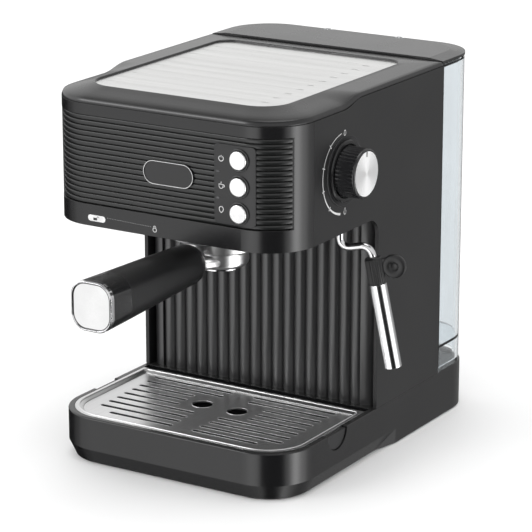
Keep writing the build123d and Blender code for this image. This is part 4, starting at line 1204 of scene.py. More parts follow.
@dataclass
class HeadFront:
    """The ribbed fascia, the control panel, the badge and the printed marks on the head."""

    ribs: int = 17
    rib_depth: float = 1.9
    groove: float = 0.3
    end_y: float = -126.0
    inset: float = 0.9
    back: float = 3.1
    corner: float = 37.0
    corner_x: float = 65.5
    corner_y: float = -107.0
    per_rib: int = 14
    badge_line: float = 0.35
    icon_line: float = 0.42
    icon_x: float = 49.6
    pill: tuple[Spot, Spot] = ((-63.2, 187.0), (-48.2, 191.6))
    open_body: tuple[Spot, Spot] = ((-58.6, 187.9), (-55.4, 189.7))
    open_shackle: tuple[float, float] = (-54.6, 189.8)
    locked_mark: tuple[float, float] = (-6.0, 189.0)
    dots: tuple[Spot, Spot] = ((-46.4, 190.9), (-9.6, 190.0))
    shackle_line: float = 0.4

    def dress(self) -> None:
        """Finish the nodes of the head's front."""
        turned = {
            name: Metal(f"spun_{name}", (0.88, 0.88, 0.88), 0.24, 0.08, fineness=1800.0, depth=0.000002,
                        anisotropy=0.35, centre=tuple((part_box(name)[0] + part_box(name)[1]) / 2),
                        across=(1.0, 0.0, 1.0), axis="Y")
            for name in ("button_power", "button_coffee", "button_steam")
        }
        dress(
            {
                "control_panel": PANEL_BLACK,
                "button_bezels": KNOB_BLACK,
                "indicator_lenses": LAMP_DARK,
                "badge_plate": PANEL_BLACK,
                "push_switches": DEEP_BLACK,
                "control_board": BOARD_GREEN,
                **turned,
            }
        )

    def build_ribs(self) -> None:
        """Press the ribs into the fascia, which wraps round both front corners."""
        low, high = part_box("ribbed_fascia")
        bottom, top = low.z / MM, high.z / MM
        radius, cx, cy = self.corner, self.corner_x, self.corner_y
        path = []
        start = math.degrees(math.asin((self.end_y - cy) / radius))
        for k in range(21):
            a = math.radians(180 - start + (270 - 180 + start) * k / 20)
            path.append((-cx, cy, math.cos(a), math.sin(a)))
        for k in range(1, 20):
            path.append((-cx + 2 * cx * k / 20, cy, 0.0, -1.0))
        for k in range(21):
            a = math.radians(270 + (90 + start) * k / 20)
            path.append((cx, cy, math.cos(a), math.sin(a)))
        levels = self.ribs * self.per_rib
        heights = [bottom + (top - bottom) * k / levels for k in range(levels + 1)]
        pitch = (top - bottom) / self.ribs
        rows = []
        for x, y, nx, ny in path:
            r = radius - self.inset
            b = radius - self.back
            row = [(x + r * nx, y + r * ny, z) for z in heights]
            row += [(x + b * nx, y + b * ny, top), (x + b * nx, y + b * ny, bottom)]
            rows.append(as_metres(row))
        count = len(heights)
        skin = SkinMaker(
            rows,
            runs=lambda i, j: (heights[j] - bottom) * MM if j < count else 0.0,
            outward=lambda i, j: Vector((path[i][2], path[i][3], 0.0)),
            share=lambda i, j: 1.0 if j < count else 0.0,
        )
        ripples = RippledSkin("fascia_ribs", Wave.GROOVE, pitch * MM, self.rib_depth * MM, self.groove)
        mesh = ripples.mesh(skin.mesh(), RIB_BLACK)
        piece = show("ribbed_front", mesh, RIB_BLACK, 50.0)
        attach(piece, Body.HOUSING.value)
        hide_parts("ribbed_fascia")
        LOG.info("piece %s: %d ribs", piece.name, self.ribs)

    def build_badge_line(self) -> None:
        """Outline the blank badge."""
        low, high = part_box("badge_plate")
        face = Face((0, low.y / MM, 0), (1, 0, 0), (0, 0, 1))
        sheet = PrintSheet(face)
        x, z = (low.x + high.x) / 2 / MM, (low.z + high.z) / 2 / MM
        w, h = (high.x - low.x) / 2 / MM - 0.5, (high.z - low.z) / 2 / MM - 0.5
        outline = rounded_outline((x - w, z - h), (x + w, z + h), [h * 0.99] * 4, 50.0, 12)
        sheet.stroke(outline, self.badge_line, closed=True)
        sheet.finish("badge_outline", INK_WHITE, Body.HOUSING, "badge")
        LOG.info("piece badge_outline")

    def build_icons(self) -> None:
        """Print a power, a cup and a steam mark beside the three buttons."""
        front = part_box("control_panel")[0].y / MM
        sheet = PrintSheet(Face((0, front, 0), (1, 0, 0), (0, 0, 1)))
        x = self.icon_x
        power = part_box("button_power")
        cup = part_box("button_coffee")
        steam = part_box("button_steam")
        z = (power[0].z + power[1].z) / 2 / MM - 0.3
        sheet.stroke(ring_points(x, z, 1.9, 125, 415, 20), self.icon_line)
        sheet.stroke([(x, z + 0.8), (x, z + 2.4)], self.icon_line)
        z = (cup[0].z + cup[1].z) / 2 / MM - 1.0
        bowl = [
            (x - 1.9, z + 1.2), (x - 1.7, z - 0.6), (x - 0.9, z - 1.6),
            (x + 0.7, z - 1.6), (x + 1.4, z - 0.6), (x + 1.6, z + 1.2),
        ]
        sheet.stroke(bowl, self.icon_line, closed=True)
        sheet.stroke(ring_points(x + 1.9, z + 0.2, 0.8, -100, 100, 8), self.icon_line)
        sheet.stroke([(x - 0.1, z + 1.7), (x + 0.1, z + 3.0)], self.icon_line)
        z = (steam[0].z + steam[1].z) / 2 / MM + 1.2
        cloud = ring_points(x, z + 0.5, 1.7, -20, 200, 12)
        cloud += [(x - 1.2, z - 1.2), (x, z - 2.2), (x + 1.2, z - 1.2)]
        sheet.stroke(cloud, self.icon_line, closed=True)
        sheet.finish("panel_icons", INK_WHITE, Body.HOUSING, "control_panel")
        LOG.info("piece panel_icons")

    def build_lock_scale(self) -> None:
        """Print the open mark, a dotted line and the locked mark on the band under the ribs."""
        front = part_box("head_shell")[0].y / MM
        face = Face((0, front, 0), (1, 0, 0), (0, 0, 1))
        sheet = PrintSheet(face)
        sheet.fill(rounded_outline(*self.pill, [2.2] * 4, 60.0, 8))
        x, z = self.locked_mark
        sheet.stroke(ring_points(x, z - 0.9, 1.5, 0, 360, 14), 0.45, closed=True)
        sheet.stroke(ring_points(x, z + 0.9, 1.0, 0, 180, 8), self.shackle_line)
        sheet.finish("lock_marks", INK_WHITE, Body.HOUSING, "black_plastic")
        opened = PrintSheet(face, 0.07)
        opened.fill(rounded_outline(*self.open_body, [0.3] * 4, 60.0, 3))
        opened.stroke(ring_points(*self.open_shackle, 0.9, 0, 180, 8), self.shackle_line)
        opened.finish("open_mark", INK_BLACK, Body.HOUSING, "black_plastic")
        start, end = (face.point(*spot, sheet.lift) for spot in self.dots)
        mesh = DotRow(count=27, radius=0.26).mesh(start, end, INK_GREY)
        dots = show("lock_scale_dots", mesh, INK_GREY)
        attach(dots, Body.HOUSING.value)
        LOG.info("pieces lock_marks, open_mark, lock_scale_dots")


@dataclass
class DotRow:
    """A row of printed dots between two points of a face that looks along -Y."""

    count: int
    radius: float

    def mesh(self, start: Vector, end: Vector, finish: Finish) -> bpy.types.Mesh:
        """Lay the dots out.

        Args:
            start: The first dot's centre.
            end: The last dot's centre.
            finish: The ink.

        Returns:
            The dots as one mesh.
        """
        made = Generator(
            "dot_row",
            {
                "Count": self.count,
                "Radius": self.radius * MM,
                "Start": tuple(start),
                "End": tuple(end),
                "Material": finish.material(),
            },
        )
        graph = made.graph
        line = graph.add(
            "GeometryNodeMeshLine",
            {
                "Count": made.value("Count"),
                "Start Location": made.value("Start"),
                "Offset": made.value("End"),
            },
            mode="END_POINTS",
        )
        dot = graph.add(
            "GeometryNodeMeshCircle", {"Vertices": 10, "Radius": made.value("Radius")}, fill_type="NGON"
        )
        placed = graph.add(
            "GeometryNodeInstanceOnPoints",
            {"Points": line.outputs[0], "Instance": dot.outputs[0], "Rotation": (math.pi / 2, 0.0, 0.0)},
        )
        made.end(placed.outputs[0])
        return made.make()


@dataclass
class TopFrame:
    """The raised frame round the cup-warmer plate, with its step down along each side."""

    front_z: float = 272.0
    rear_z: float = 276.9
    step_start: float = -68.0
    step_end: float = -41.0
    band_front: float = 3.9
    band_rear: float = 3.2
    rear_y: float = 80.0
    half_x: float = 102.5
    front_y: float = -144.0
    crest_z: float = 281.7
    lean: float = 1.15
    opening: tuple[Spot, Spot] = ((-79.5, -124.0), (79.5, 61.0))
    outer_radii: tuple[float, ...] = (37.0, 37.0, 0.8, 0.8)
    opening_radii: tuple[float, ...] = (22.0, 22.0, 13.0, 13.0)
    opening_floor_z: float = 279.2
    point_gap: float = 3.0
    corner_turns: int = 20

    def seam(self, y: float) -> float:
        """The height of the frame's lower edge at y."""
        return self.front_z + (self.rear_z - self.front_z) * smooth_step(self.step_start, self.step_end, y)

    def shoulder(self, y: float) -> float:
        """The height at which the upright band turns into the slope."""
        share = smooth_step(self.step_start, self.step_end, y)
        return self.seam(y) + (self.band_front + (self.band_rear - self.band_front) * share)

    def build(self) -> None:
        """Skin the frame from its lower edge, over the slope, to the plate's opening."""
        edges = ((-self.half_x, self.front_y), (self.half_x, self.rear_y))
        outer = rounded_outline(*edges, self.outer_radii, self.point_gap, self.corner_turns)
        inner = rounded_outline(*self.opening, self.opening_radii, self.point_gap, self.corner_turns)

        def ring(share: float, height: Callable[[float], float], inward: float = 0.0) -> list[Vector]:
            """One turn of the frame, at a share of the way from its outer edge to the opening."""
            points = []
            for (ox, oy), (ix, iy) in zip(outer, inner):
                x, y = ox + (ix - ox) * share, oy + (iy - oy) * share
                away = Vector((ix - ox, iy - oy)).normalized() * inward
                points.append(Vector((x + away.x, y + away.y, height(oy))) * MM)
            return points

        crest = self.crest_z
        rings = [
            ring(0.0, self.seam, 0.7),
            ring(0.0, lambda y: self.seam(y) + 0.45, 0.7),
            ring(0.0, lambda y: self.seam(y) + 0.5, 0.1),
            ring(0.0, lambda y: self.seam(y) + 0.8, 0.05),
            ring(0.0, lambda y: self.shoulder(y) - 0.3, self.lean),
            ring(0.0, lambda y: self.shoulder(y), self.lean + 0.5),
        ]
        for share in (0.2, 0.4, 0.6, 0.8):
            rings.append(ring(share, lambda y, s=share: self.shoulder(y) + (crest - self.shoulder(y)) * s))
        rings += [
            ring(1.0, lambda y: crest - 0.12, -1.2),
            ring(1.0, lambda y: crest, -0.7),
            ring(1.0, lambda y: crest - 0.1, -0.3),
            ring(1.0, lambda y: crest - 0.5, 0.08),
            ring(1.0, lambda y: self.opening_floor_z, 0.1),
            ring(0.4, lambda y: self.seam(y) + 1.2),
            ring(0.0, self.seam, 2.5),
        ]
        mesh = loft(rings, capped=False, closed=True)
        piece = show("top_rim", mesh, RIM_BLACK, 40.0)
        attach(piece, Body.HOUSING.value)
        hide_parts("top_frame")
        LOG.info("piece %s", piece.name)


@dataclass
class WarmerPlate:
    """The pressed steel plate on top, with soft ribs that end at a row of drain slots."""

    pitch: float = 15.75
    first: float = -104.6
    ribs: int = 10
    rib_left: float = -70.0
    rib_right: float = 54.0
    rib_fade: float = 4.0
    rib_height: float = 0.5
    slot_x: float = 60.5
    slot_length: float = 5.5
    slot_width: float = 1.5
    top: float = 280.3
    thickness: float = 0.8
    half_x: float = 81.0
    front: float = -125.5
    rear: float = 62.5
    front_corner: float = 21.0
    rear_corner: float = 13.5
    columns: int = 54
    rows: int = 250

    def build(self) -> None:
        """Press the ribs, then cut the slots."""
        half_x, front, rear = self.half_x, self.front, self.rear
        columns, rows = self.columns, self.rows
        xs = [-half_x + 2 * half_x * k / columns for k in range(columns + 1)]
        ys = [front + (rear - front) * k / rows for k in range(rows + 1)]
        middle = (front + rear) / 2
        limit_y = (rear - front) / 2

        def tucked(x: float, y: float) -> tuple[float, float]:
            """Pull a corner point in to the rounded outline."""
            corner = self.front_corner if y < middle else self.rear_corner
            cx, cy = half_x - corner, limit_y - corner
            dx, dy = abs(x) - cx, abs(y - middle) - cy
            if dx <= 0 or dy <= 0 or math.hypot(dx, dy) <= corner:
                return x, y
            scale = corner / math.hypot(dx, dy)
            return math.copysign(cx + dx * scale, x), middle + math.copysign(cy + dy * scale, y - middle)

        spots = [[tucked(x, y) for x in xs] for y in ys]

        def share(i: int, j: int) -> float:
            """How fully a point of the plate is raised."""
            x, y = xs[j], ys[i]
            inside = self.first - self.pitch / 2 < y < self.first + self.pitch * (self.ribs - 0.5)
            fade = self.rib_fade
            left = smooth_step(self.rib_left - fade, self.rib_left + fade, x)
            right = 1 - smooth_step(self.rib_right - fade, self.rib_right + fade, x)
            return left * right if inside else 0.0

        skin = SkinMaker(
            [as_metres((x, y, self.top) for x, y in row) for row in spots],
            runs=lambda i, j: (ys[i] - self.first + self.pitch / 2 + 20 * self.pitch) * MM,
            outward=lambda i, j: Vector((0, 0, 1)),
            share=share,
            closed_rows=False,
            capped=False,
        )
        ripples = RippledSkin("plate_ribs", Wave.MOUND, self.pitch * MM, self.rib_height * MM, 0.4)
        mesh = ripples.mesh(skin.mesh(), PLATE_STEEL)
        mesh = self.slotted(mesh)
        piece = show("pressed_warmer_plate", mesh, PLATE_STEEL, 30.0)
        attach(piece, Body.HOUSING.value)
        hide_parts("cup_warmer_plate")
        LOG.info("piece %s: %d ribs", piece.name, self.ribs)

    def slotted(self, sheet: bpy.types.Mesh) -> bpy.types.Mesh:
        """Thicken the sheet and cut a slot beside the end of each rib.

        Args:
            sheet: The pressed sheet.

        Returns:
            The plate.
        """
        made = Generator(
            "plate_slots",
            {
                "Slots": self.ribs,
                "Pitch": (0.0, self.pitch * MM, 0.0),
                "First": (self.slot_x * MM, self.first * MM, self.top * MM),
                "Slot Size": (self.slot_length * MM, self.slot_width * MM, 0.004),
                "Thickness": self.thickness * MM,
                "Material": PLATE_STEEL.material(),
            },
        )
        graph = made.graph
        thick = graph.add(
            "GeometryNodeExtrudeMesh",
            {
                "Mesh": made.given.outputs[0],
                "Offset": (0.0, 0.0, -1.0),
                "Offset Scale": made.value("Thickness"),
                "Individual": False,
            },
        )
        back = graph.add("GeometryNodeFlipFaces", {"Mesh": made.given.outputs[0]})
        whole = graph.add("GeometryNodeJoinGeometry")
        for socket in (back.outputs[0], thick.outputs[0]):
            graph.tree.links.new(socket, whole.inputs[0])
        closed = graph.add(
            "GeometryNodeMergeByDistance", {"Geometry": whole.outputs[0], "Distance": 0.000001}
        )
        turned = graph.add("GeometryNodeFlipFaces", {"Mesh": closed.outputs[0]})
        cutter = graph.add("GeometryNodeMeshCube", {"Size": made.value("Slot Size")})
        line = graph.add(
            "GeometryNodeMeshLine",
            {
                "Count": made.value("Slots"),
                "Start Location": made.value("First"),
                "Offset": made.value("Pitch"),
            },
        )
        cutters = graph.add(
            "GeometryNodeInstanceOnPoints", {"Points": line.outputs[0], "Instance": cutter.outputs[0]}
        )
        solid = graph.add("GeometryNodeRealizeInstances", {0: cutters.outputs[0]})
        cut = graph.add(
            "GeometryNodeMeshBoolean",
            {"Mesh 1": turned.outputs[0], "Mesh 2": solid.outputs[0]},
            operation="DIFFERENCE",
        )
        made.end(cut.outputs[0])
        mesh = made.make(sheet)
        work = bmesh.new()
        work.from_mesh(mesh)
        return settle(work)


@dataclass
class DripStation:
    """The drip tray, its slotted grid, and the grid's beaded edge and slot lips."""

    rows: int = 9
    pitch: float = 10.4
    last_y: float = -120.5
    starts: tuple[float, ...] = (8.5, 8.5, 9.5, 10.5, 30.0, 30.0, 30.0, 11.0, 9.0)
    ends: tuple[float, ...] = (64.0, 79.0, 79.0, 79.0, 79.5, 79.5, 80.0, 80.0, 80.0)
    slot_width: float = 4.0
    bead_inset: float = 3.0
    bead_radius: float = 29.6
    bead: float = 0.4
    lip: float = 0.11
    well_x: float = 15.3
    well_y: float = -70.0
    well_radius: float = 7.9
    ramp_end: float = 6.2
    field_t: float = 1.2

    def dress(self) -> None:
        """Finish the tray and the grid."""
        dress({"drip_tray": DEEP_BLACK, "drip_grid": GRID_STEEL})

    def border(self, inset: float, front: float, rear: float) -> list[Spot]:
        """The grid's outline, drawn in from its edge.

        Args:
            inset: How far it is drawn in.
            front: The radius of its front corners.
            rear: The radius of its rear corners.

        Returns:
            The outline's points in millimetres.
        """
        low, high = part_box("drip_grid")
        corners = ((low.x / MM + inset, low.y / MM + inset), (high.x / MM - inset, high.y / MM - inset))
        return rounded_outline(*corners, (front, front, rear, rear), 20.0, 16)

    def build_bead(self) -> None:
        """Roll a bead round the grid's edge."""
        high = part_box("drip_grid")[1]
        outline = self.border(self.bead_inset, self.bead_radius, 3.0)
        points = as_metres((x, y, high.z / MM + 0.05) for x, y in outline)
        curve = path_curve("bead_path", points, closed=True)
        mesh = Sweep("grid_bead", self.bead, 10).mesh(curve, GRID_STEEL)
        piece = show("grid_bead", mesh, GRID_STEEL, 40.0)
        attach(piece, Body.GRID.value)
        LOG.info("piece %s", piece.name)

    def build_ramp(self) -> None:
        """Slope the grid's border down to its slotted field."""
        low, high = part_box("drip_grid")
        floor = low.z / MM + self.field_t
        top = high.z / MM

        def ring(inset: float, z: float, front_radius: float) -> list[Vector]:
            """One turn of the slope, at an inset from the grid's edge."""
            outline = self.border(inset, front_radius, max(0.6, 3.6 - inset))
            return as_metres((x, y, z) for x, y in outline)

        rings = [
            ring(2.9, top - 0.02, self.bead_radius),
            ring(3.4, top - 0.15, 29.1),
            ring(self.ramp_end - 0.4, floor + 0.15, 33.0 - self.ramp_end),
            ring(self.ramp_end, floor + 0.03, 32.6 - self.ramp_end),
            ring(2.9, floor + 0.03, self.bead_radius),
        ]
        piece = show("grid_border_slope", loft(rings, capped=False, closed=True), GRID_STEEL, 30.0)
        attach(piece, Body.GRID.value)
        LOG.info("piece %s", piece.name)

    def build_lips(self) -> None:
        """Turn up a fine lip round every slot of the grid, and sink a dark bead in each slot as painted shade
        on the slot's sides.
        """
        field = (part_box("drip_grid")[0].z / MM + self.field_t) * MM
        base = bpy.data.meshes.new("slot_centres")
        spots, spans = [], []
        for row, (start, end) in enumerate(zip(self.starts, self.ends)):
            y = self.last_y + row * self.pitch
            for side in (-1, 1):
                spots.append((side * (start + end) / 2 * MM, y * MM, field))
                spans.append((end - start - self.slot_width) / 2 * MM)
        base.from_pydata(spots, [], [])
        base.attributes.new("half_span", "FLOAT", "POINT").data.foreach_set("value", spans)
        mesh = SlotLips("slot_lips", (self.slot_width / 2 + 0.1) * MM, self.lip * MM).mesh(base, GRID_STEEL)
        piece = show("grid_slot_lips", mesh, GRID_STEEL, 60.0)
        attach(piece, Body.GRID.value)
        LOG.info("piece %s: %d slots", piece.name, len(spots))
        # Painted shade: a dark bead sunk just inside each slot stands in for the shadow on the slot's sides;
        # it is not a part of the grid.
        painted_slot_shade = SlotLips("slot_painted_shade", (self.slot_width / 2 - 0.15) * MM, 0.5 * MM).mesh(base, DEEP_BLACK)
        painted_slot_shade.transform(Matrix.Translation((0.0, 0.0, -0.62 * MM)))
        shade = show("grid_slot_painted_shade", painted_slot_shade, DEEP_BLACK, 60.0)
        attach(shade, Body.GRID.value)
        LOG.info("piece %s", shade.name)

    def build_drip_wells(self) -> None:
        """Roll a lip round each of the two drip holes."""
        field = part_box("drip_grid")[0].z / MM + self.field_t
        for x, name in ((-self.well_x, "left"), (self.well_x, "right")):
            turn = ring_points(x, self.well_y, self.well_radius, count=48)
            path = path_curve("well", as_metres((px, py, field + 0.02) for px, py in turn), closed=True)
            mesh = Sweep(f"well_lip_{name}", 0.25, 8).mesh(path, GRID_STEEL)
            piece = show(f"drip_well_lip_{name}", mesh, GRID_STEEL, 60.0)
            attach(piece, Body.GRID.value)
            LOG.info("piece %s", piece.name)


@dataclass
class Sweep:
    """A round bead along a path."""

    name: str
    radius: float
    sides: int

    def mesh(self, path: bpy.types.Curve, finish: Finish) -> bpy.types.Mesh:
        """Sweep the bead.

        Args:
            path: The path in metres.
            finish: What it is made of.

        Returns:
            The bead's mesh.
        """
        made = Generator(
            self.name, {"Radius": self.radius * MM, "Sides": self.sides, "Material": finish.material()}
        )
        graph = made.graph
        ring = graph.add(
            "GeometryNodeCurvePrimitiveCircle",
            {"Resolution": made.value("Sides"), "Radius": made.value("Radius")},
        )
        swept = graph.add(
            "GeometryNodeCurveToMesh",
            {"Curve": made.given.outputs[0], "Profile Curve": ring.outputs[0], "Fill Caps": True},
        )
        made.end(swept.outputs[0])
        return made.make(path)


@dataclass
class SlotLips:
    """A fine lip round each long slot, from the slots' centres and their half_span attribute."""

    name: str
    reach: float
    bead: float

    def mesh(self, centres: bpy.types.Mesh, finish: Finish) -> bpy.types.Mesh:
        """Lay the lips out.

        Args:
            centres: A point for each slot.
            finish: What they are made of.

        Returns:
            The lips as one mesh.
        """
        made = Generator(
            self.name, {"Slot Radius": self.reach, "Bead Radius": self.bead, "Material": finish.material()}
        )
        graph = made.graph
        loop = graph.add(
            "GeometryNodeCurvePrimitiveCircle", {"Resolution": 18, "Radius": made.value("Slot Radius")}
        )
        place = graph.add("GeometryNodeInputPosition").outputs[0]
        side = graph.math("SIGN", graph.add("ShaderNodeSeparateXYZ", {0: place}).outputs[0])
        marked = graph.add(
            "GeometryNodeStoreNamedAttribute",
            {"Geometry": loop.outputs[0], "Name": "side", "Value": side},
            data_type="FLOAT",
            domain="POINT",
        )
        points = graph.add("GeometryNodeMeshToPoints", {0: made.given.outputs[0], "Radius": 0.001})
        placed = graph.add(
            "GeometryNodeInstanceOnPoints", {"Points": points.outputs[0], "Instance": marked.outputs[0]}
        )
        real = graph.add("GeometryNodeRealizeInstances", {0: placed.outputs[0]})
        span = graph.attribute("half_span")
        which = graph.attribute("side")
        shift = graph.add("ShaderNodeCombineXYZ", {0: graph.math("MULTIPLY", span, which)})
        stretched = graph.add(
            "GeometryNodeSetPosition", {"Geometry": real.outputs[0], "Offset": shift.outputs[0]}
        )
        bead = graph.add(
            "GeometryNodeCurvePrimitiveCircle", {"Resolution": 6, "Radius": made.value("Bead Radius")}
        )
        swept = graph.add(
            "GeometryNodeCurveToMesh", {"Curve": stretched.outputs[0], "Profile Curve": bead.outputs[0]}
        )
        made.end(swept.outputs[0])
        return made.make(centres)


@dataclass
class FilterHolder:
    """The filter holder: bowl, spout, and the handle with its band and end."""

    insert_corner: float = 10.1
    joint_width: float = 0.3

    def dress(self) -> None:
        """Finish the holder's nodes."""
        dress(
            {
                "portafilter_bowl": BOWL_CHROME,
                "spout_plate": CHROME,
                "filter_basket": PLAIN_STEEL,
                "handle_grip": HANDLE_BLACK,
                "handle_band": BAND_BLACK,
                "handle_end_ring": CHROME,
                "handle_end_insert": END_SATIN,
                "handle_bolt": PLAIN_STEEL,
                "group_head": CAST_ALLOY,
                "group_gasket": SOFT_RUBBER,
                "shower_screen": PLAIN_STEEL,
            }
        )

    def build_end_joint(self) -> None:
        """Lay the dark joint line round the satin insert in the handle's end."""
        low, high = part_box("handle_end_insert")
        corners = ((low.x / MM + 0.1, low.z / MM + 0.1), (high.x / MM - 0.1, high.z / MM - 0.1))
        outline = rounded_outline(*corners, [self.insert_corner] * 4, 20.0, 12)
        path = path_curve("end_joint_path", as_metres((x, low.y / MM, z) for x, z in outline), closed=True)
        mesh = Sweep("end_joint", self.joint_width, 8).mesh(path, DEEP_BLACK)
        piece = show("handle_end_joint", mesh, DEEP_BLACK, 60.0)
        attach(piece, Body.FILTER_HOLDER.value)
        LOG.info("piece %s", piece.name)


@dataclass
class SteamKnob:
    """The knob with its ridged shell, spun disc and pointer, and the scale round it."""

    ridges: int = 40
    ridge_depth: float = 0.4
    segments: int = 480
    disc_seat: float = 16.2
    bore: float = 3.2
    dial_radius: float = 25.4
    dial_bore: float = 21.0
    scale_radius: float = 29.2
    scale_shift: Spot = (-1.6, -1.2)
    ticks: int = 4
    tick_reach: float = 1.7

    def dress(self) -> None:
        """Finish the knob's nodes."""
        low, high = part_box("knob_disc")
        disc = Metal(
            "spun_knob_disc", (0.97, 0.97, 0.97), 0.55, 0.06, fineness=1800.0, depth=0.000002,
            anisotropy=0.45, centre=tuple((low + high) / 2), across=(0.0, 1.0, 1.0), axis="X",
        )
        dress({"knob_ring": SATIN_BLACK, "knob_disc": disc, "valve_spindle": PLAIN_STEEL})

    def build_shell(self) -> None:
        """Turn the knob's shell and press the ridges into its side."""
        low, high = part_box("knob_shell")
        centre = (low + high) / 2 / MM
        x0, x1, radius = low.x / MM, high.x / MM, (high.z - low.z) / 2 / MM
        inner, bore = self.disc_seat, self.bore
        profile = [
            (x0, bore), (x0, radius - 1.0), (x0 + 0.3, radius - 0.3), (x0 + 1.0, radius), (x0 + 1.6, radius),
            (x0 + 2.4, radius), (x1 - 2.6, radius - 0.3), (x1 - 1.9, radius - 0.3), (x1 - 1.2, radius - 0.35),
            (x1 - 0.5, radius - 0.65), (x1 - 0.1, radius - 1.15), (x1, radius - 1.5), (x1, inner),
            (x1 - 1.0, inner), (x1 - 1.0, bore),
        ]
        ridged = (5, 6)
        around = [2 * math.pi * k / self.segments for k in range(self.segments)]
        rows = [
            as_metres((x, centre.y + r * math.cos(a), centre.z + r * math.sin(a)) for a in around)
            for x, r in profile
        ]

        def outward(_: int, j: int) -> Vector:
            """The direction away from the knob's axis."""
            return Vector((0, math.cos(around[j]), math.sin(around[j])))

        skin = SkinMaker(
            rows,
            runs=lambda i, j: j / self.segments,
            outward=outward,
            share=lambda i, j: 1.0 if i in ridged else 0.0,
            capped=False,
        )
        ripples = RippledSkin("knob_ridges", Wave.RIDGE, 1.0 / self.ridges, self.ridge_depth * MM)
        mesh = ripples.mesh(skin.mesh(), KNOB_BLACK)
        piece = show("ridged_knob", mesh, KNOB_BLACK, 45.0)
        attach(piece, Body.KNOB.value)
        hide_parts("knob_shell")
        LOG.info("piece %s: %d ridges", piece.name, self.ridges)

    def build_dial(self) -> None:
        """Turn the dark raised dial that the knob's ring stands on."""
        low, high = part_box("knob_ring")
        centre = (low + high) / 2 / MM
        x = low.x / MM
        radius, bore = self.dial_radius, self.dial_bore
        profile = [
            (x - 0.4, bore), (x - 0.4, radius), (x + 0.35, radius), (x + 0.6, radius - 0.3),
            (x + 0.6, radius - 0.7), (x + 0.2, radius - 1.2), (x + 0.2, bore),
        ]
        rings = []
        for px, r in profile:
            turn = ring_points(centre.y, centre.z, r, count=96)
            rings.append(as_metres((px, y, z) for y, z in turn))
        piece = show("knob_dial", loft(rings, capped=False, closed=True), DEEP_BLACK, 40.0)
        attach(piece, Body.HOUSING.value)
        LOG.info("piece %s", piece.name)

    def build_pointer(self) -> None:
        """Print the pointer's notch at the top of the disc."""
        low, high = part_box("knob_disc")
        centre = (low + high) / 2 / MM
        sheet = PrintSheet(Face((high.x / MM, centre.y, centre.z), (0, 1, 0), (0, 0, 1)), 0.03)
        sheet.fill(rounded_outline((-0.75, 12.2), (0.75, 15.9), [0.5] * 4, 60.0, 4))
        sheet.finish("knob_pointer", INK_BLACK, Body.KNOB, "spun_metal")
        LOG.info("piece knob_pointer")

    def build_scale(self) -> None:
        """Print the scale on the side sheet: it widens from the closed mark to the steam mark."""
        low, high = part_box("knob_ring")
        centre = (low + high) / 2 / MM
        side_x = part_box("side_panel_right")[1].x / MM
        shift_y, shift_z = self.scale_shift
        face = Face((side_x, centre.y + shift_y, centre.z + shift_z), (0, 1, 0), (0, 0, 1))
        sheet = PrintSheet(face)
        first, last, steps = 97.0, 261.0, 44
        arc = ring_points(0, 0, self.scale_radius, first, last, steps)
        sheet.stroke(arc, [0.45 + 1.3 * (k / steps) ** 3 for k in range(steps + 1)])
        for k in range(1, self.ticks + 1):
            a = math.radians(first + (last - first) * k / (self.ticks + 1))
            reaches = (self.scale_radius - self.tick_reach, self.scale_radius + self.tick_reach)
            sheet.stroke([(r * math.cos(a), r * math.sin(a)) for r in reaches], 0.7)
        zero = [(x * 0.62 - 0.2, y) for x, y in ring_points(0, 0, 2.0, count=20)]
        sheet.stroke([(x + 1.2, y + 28.6) for x, y in zero], 0.45, closed=True)
        drop = [(1.9, -25.6), (0.3, -28.4), (0.7, -29.9), (1.9, -30.5), (3.1, -29.9), (3.5, -28.4)]
        sheet.stroke(drop, 0.45, closed=True)
        sheet.finish("steam_scale", INK_WHITE, Body.HOUSING, "side_sheet")
        LOG.info("piece steam_scale")


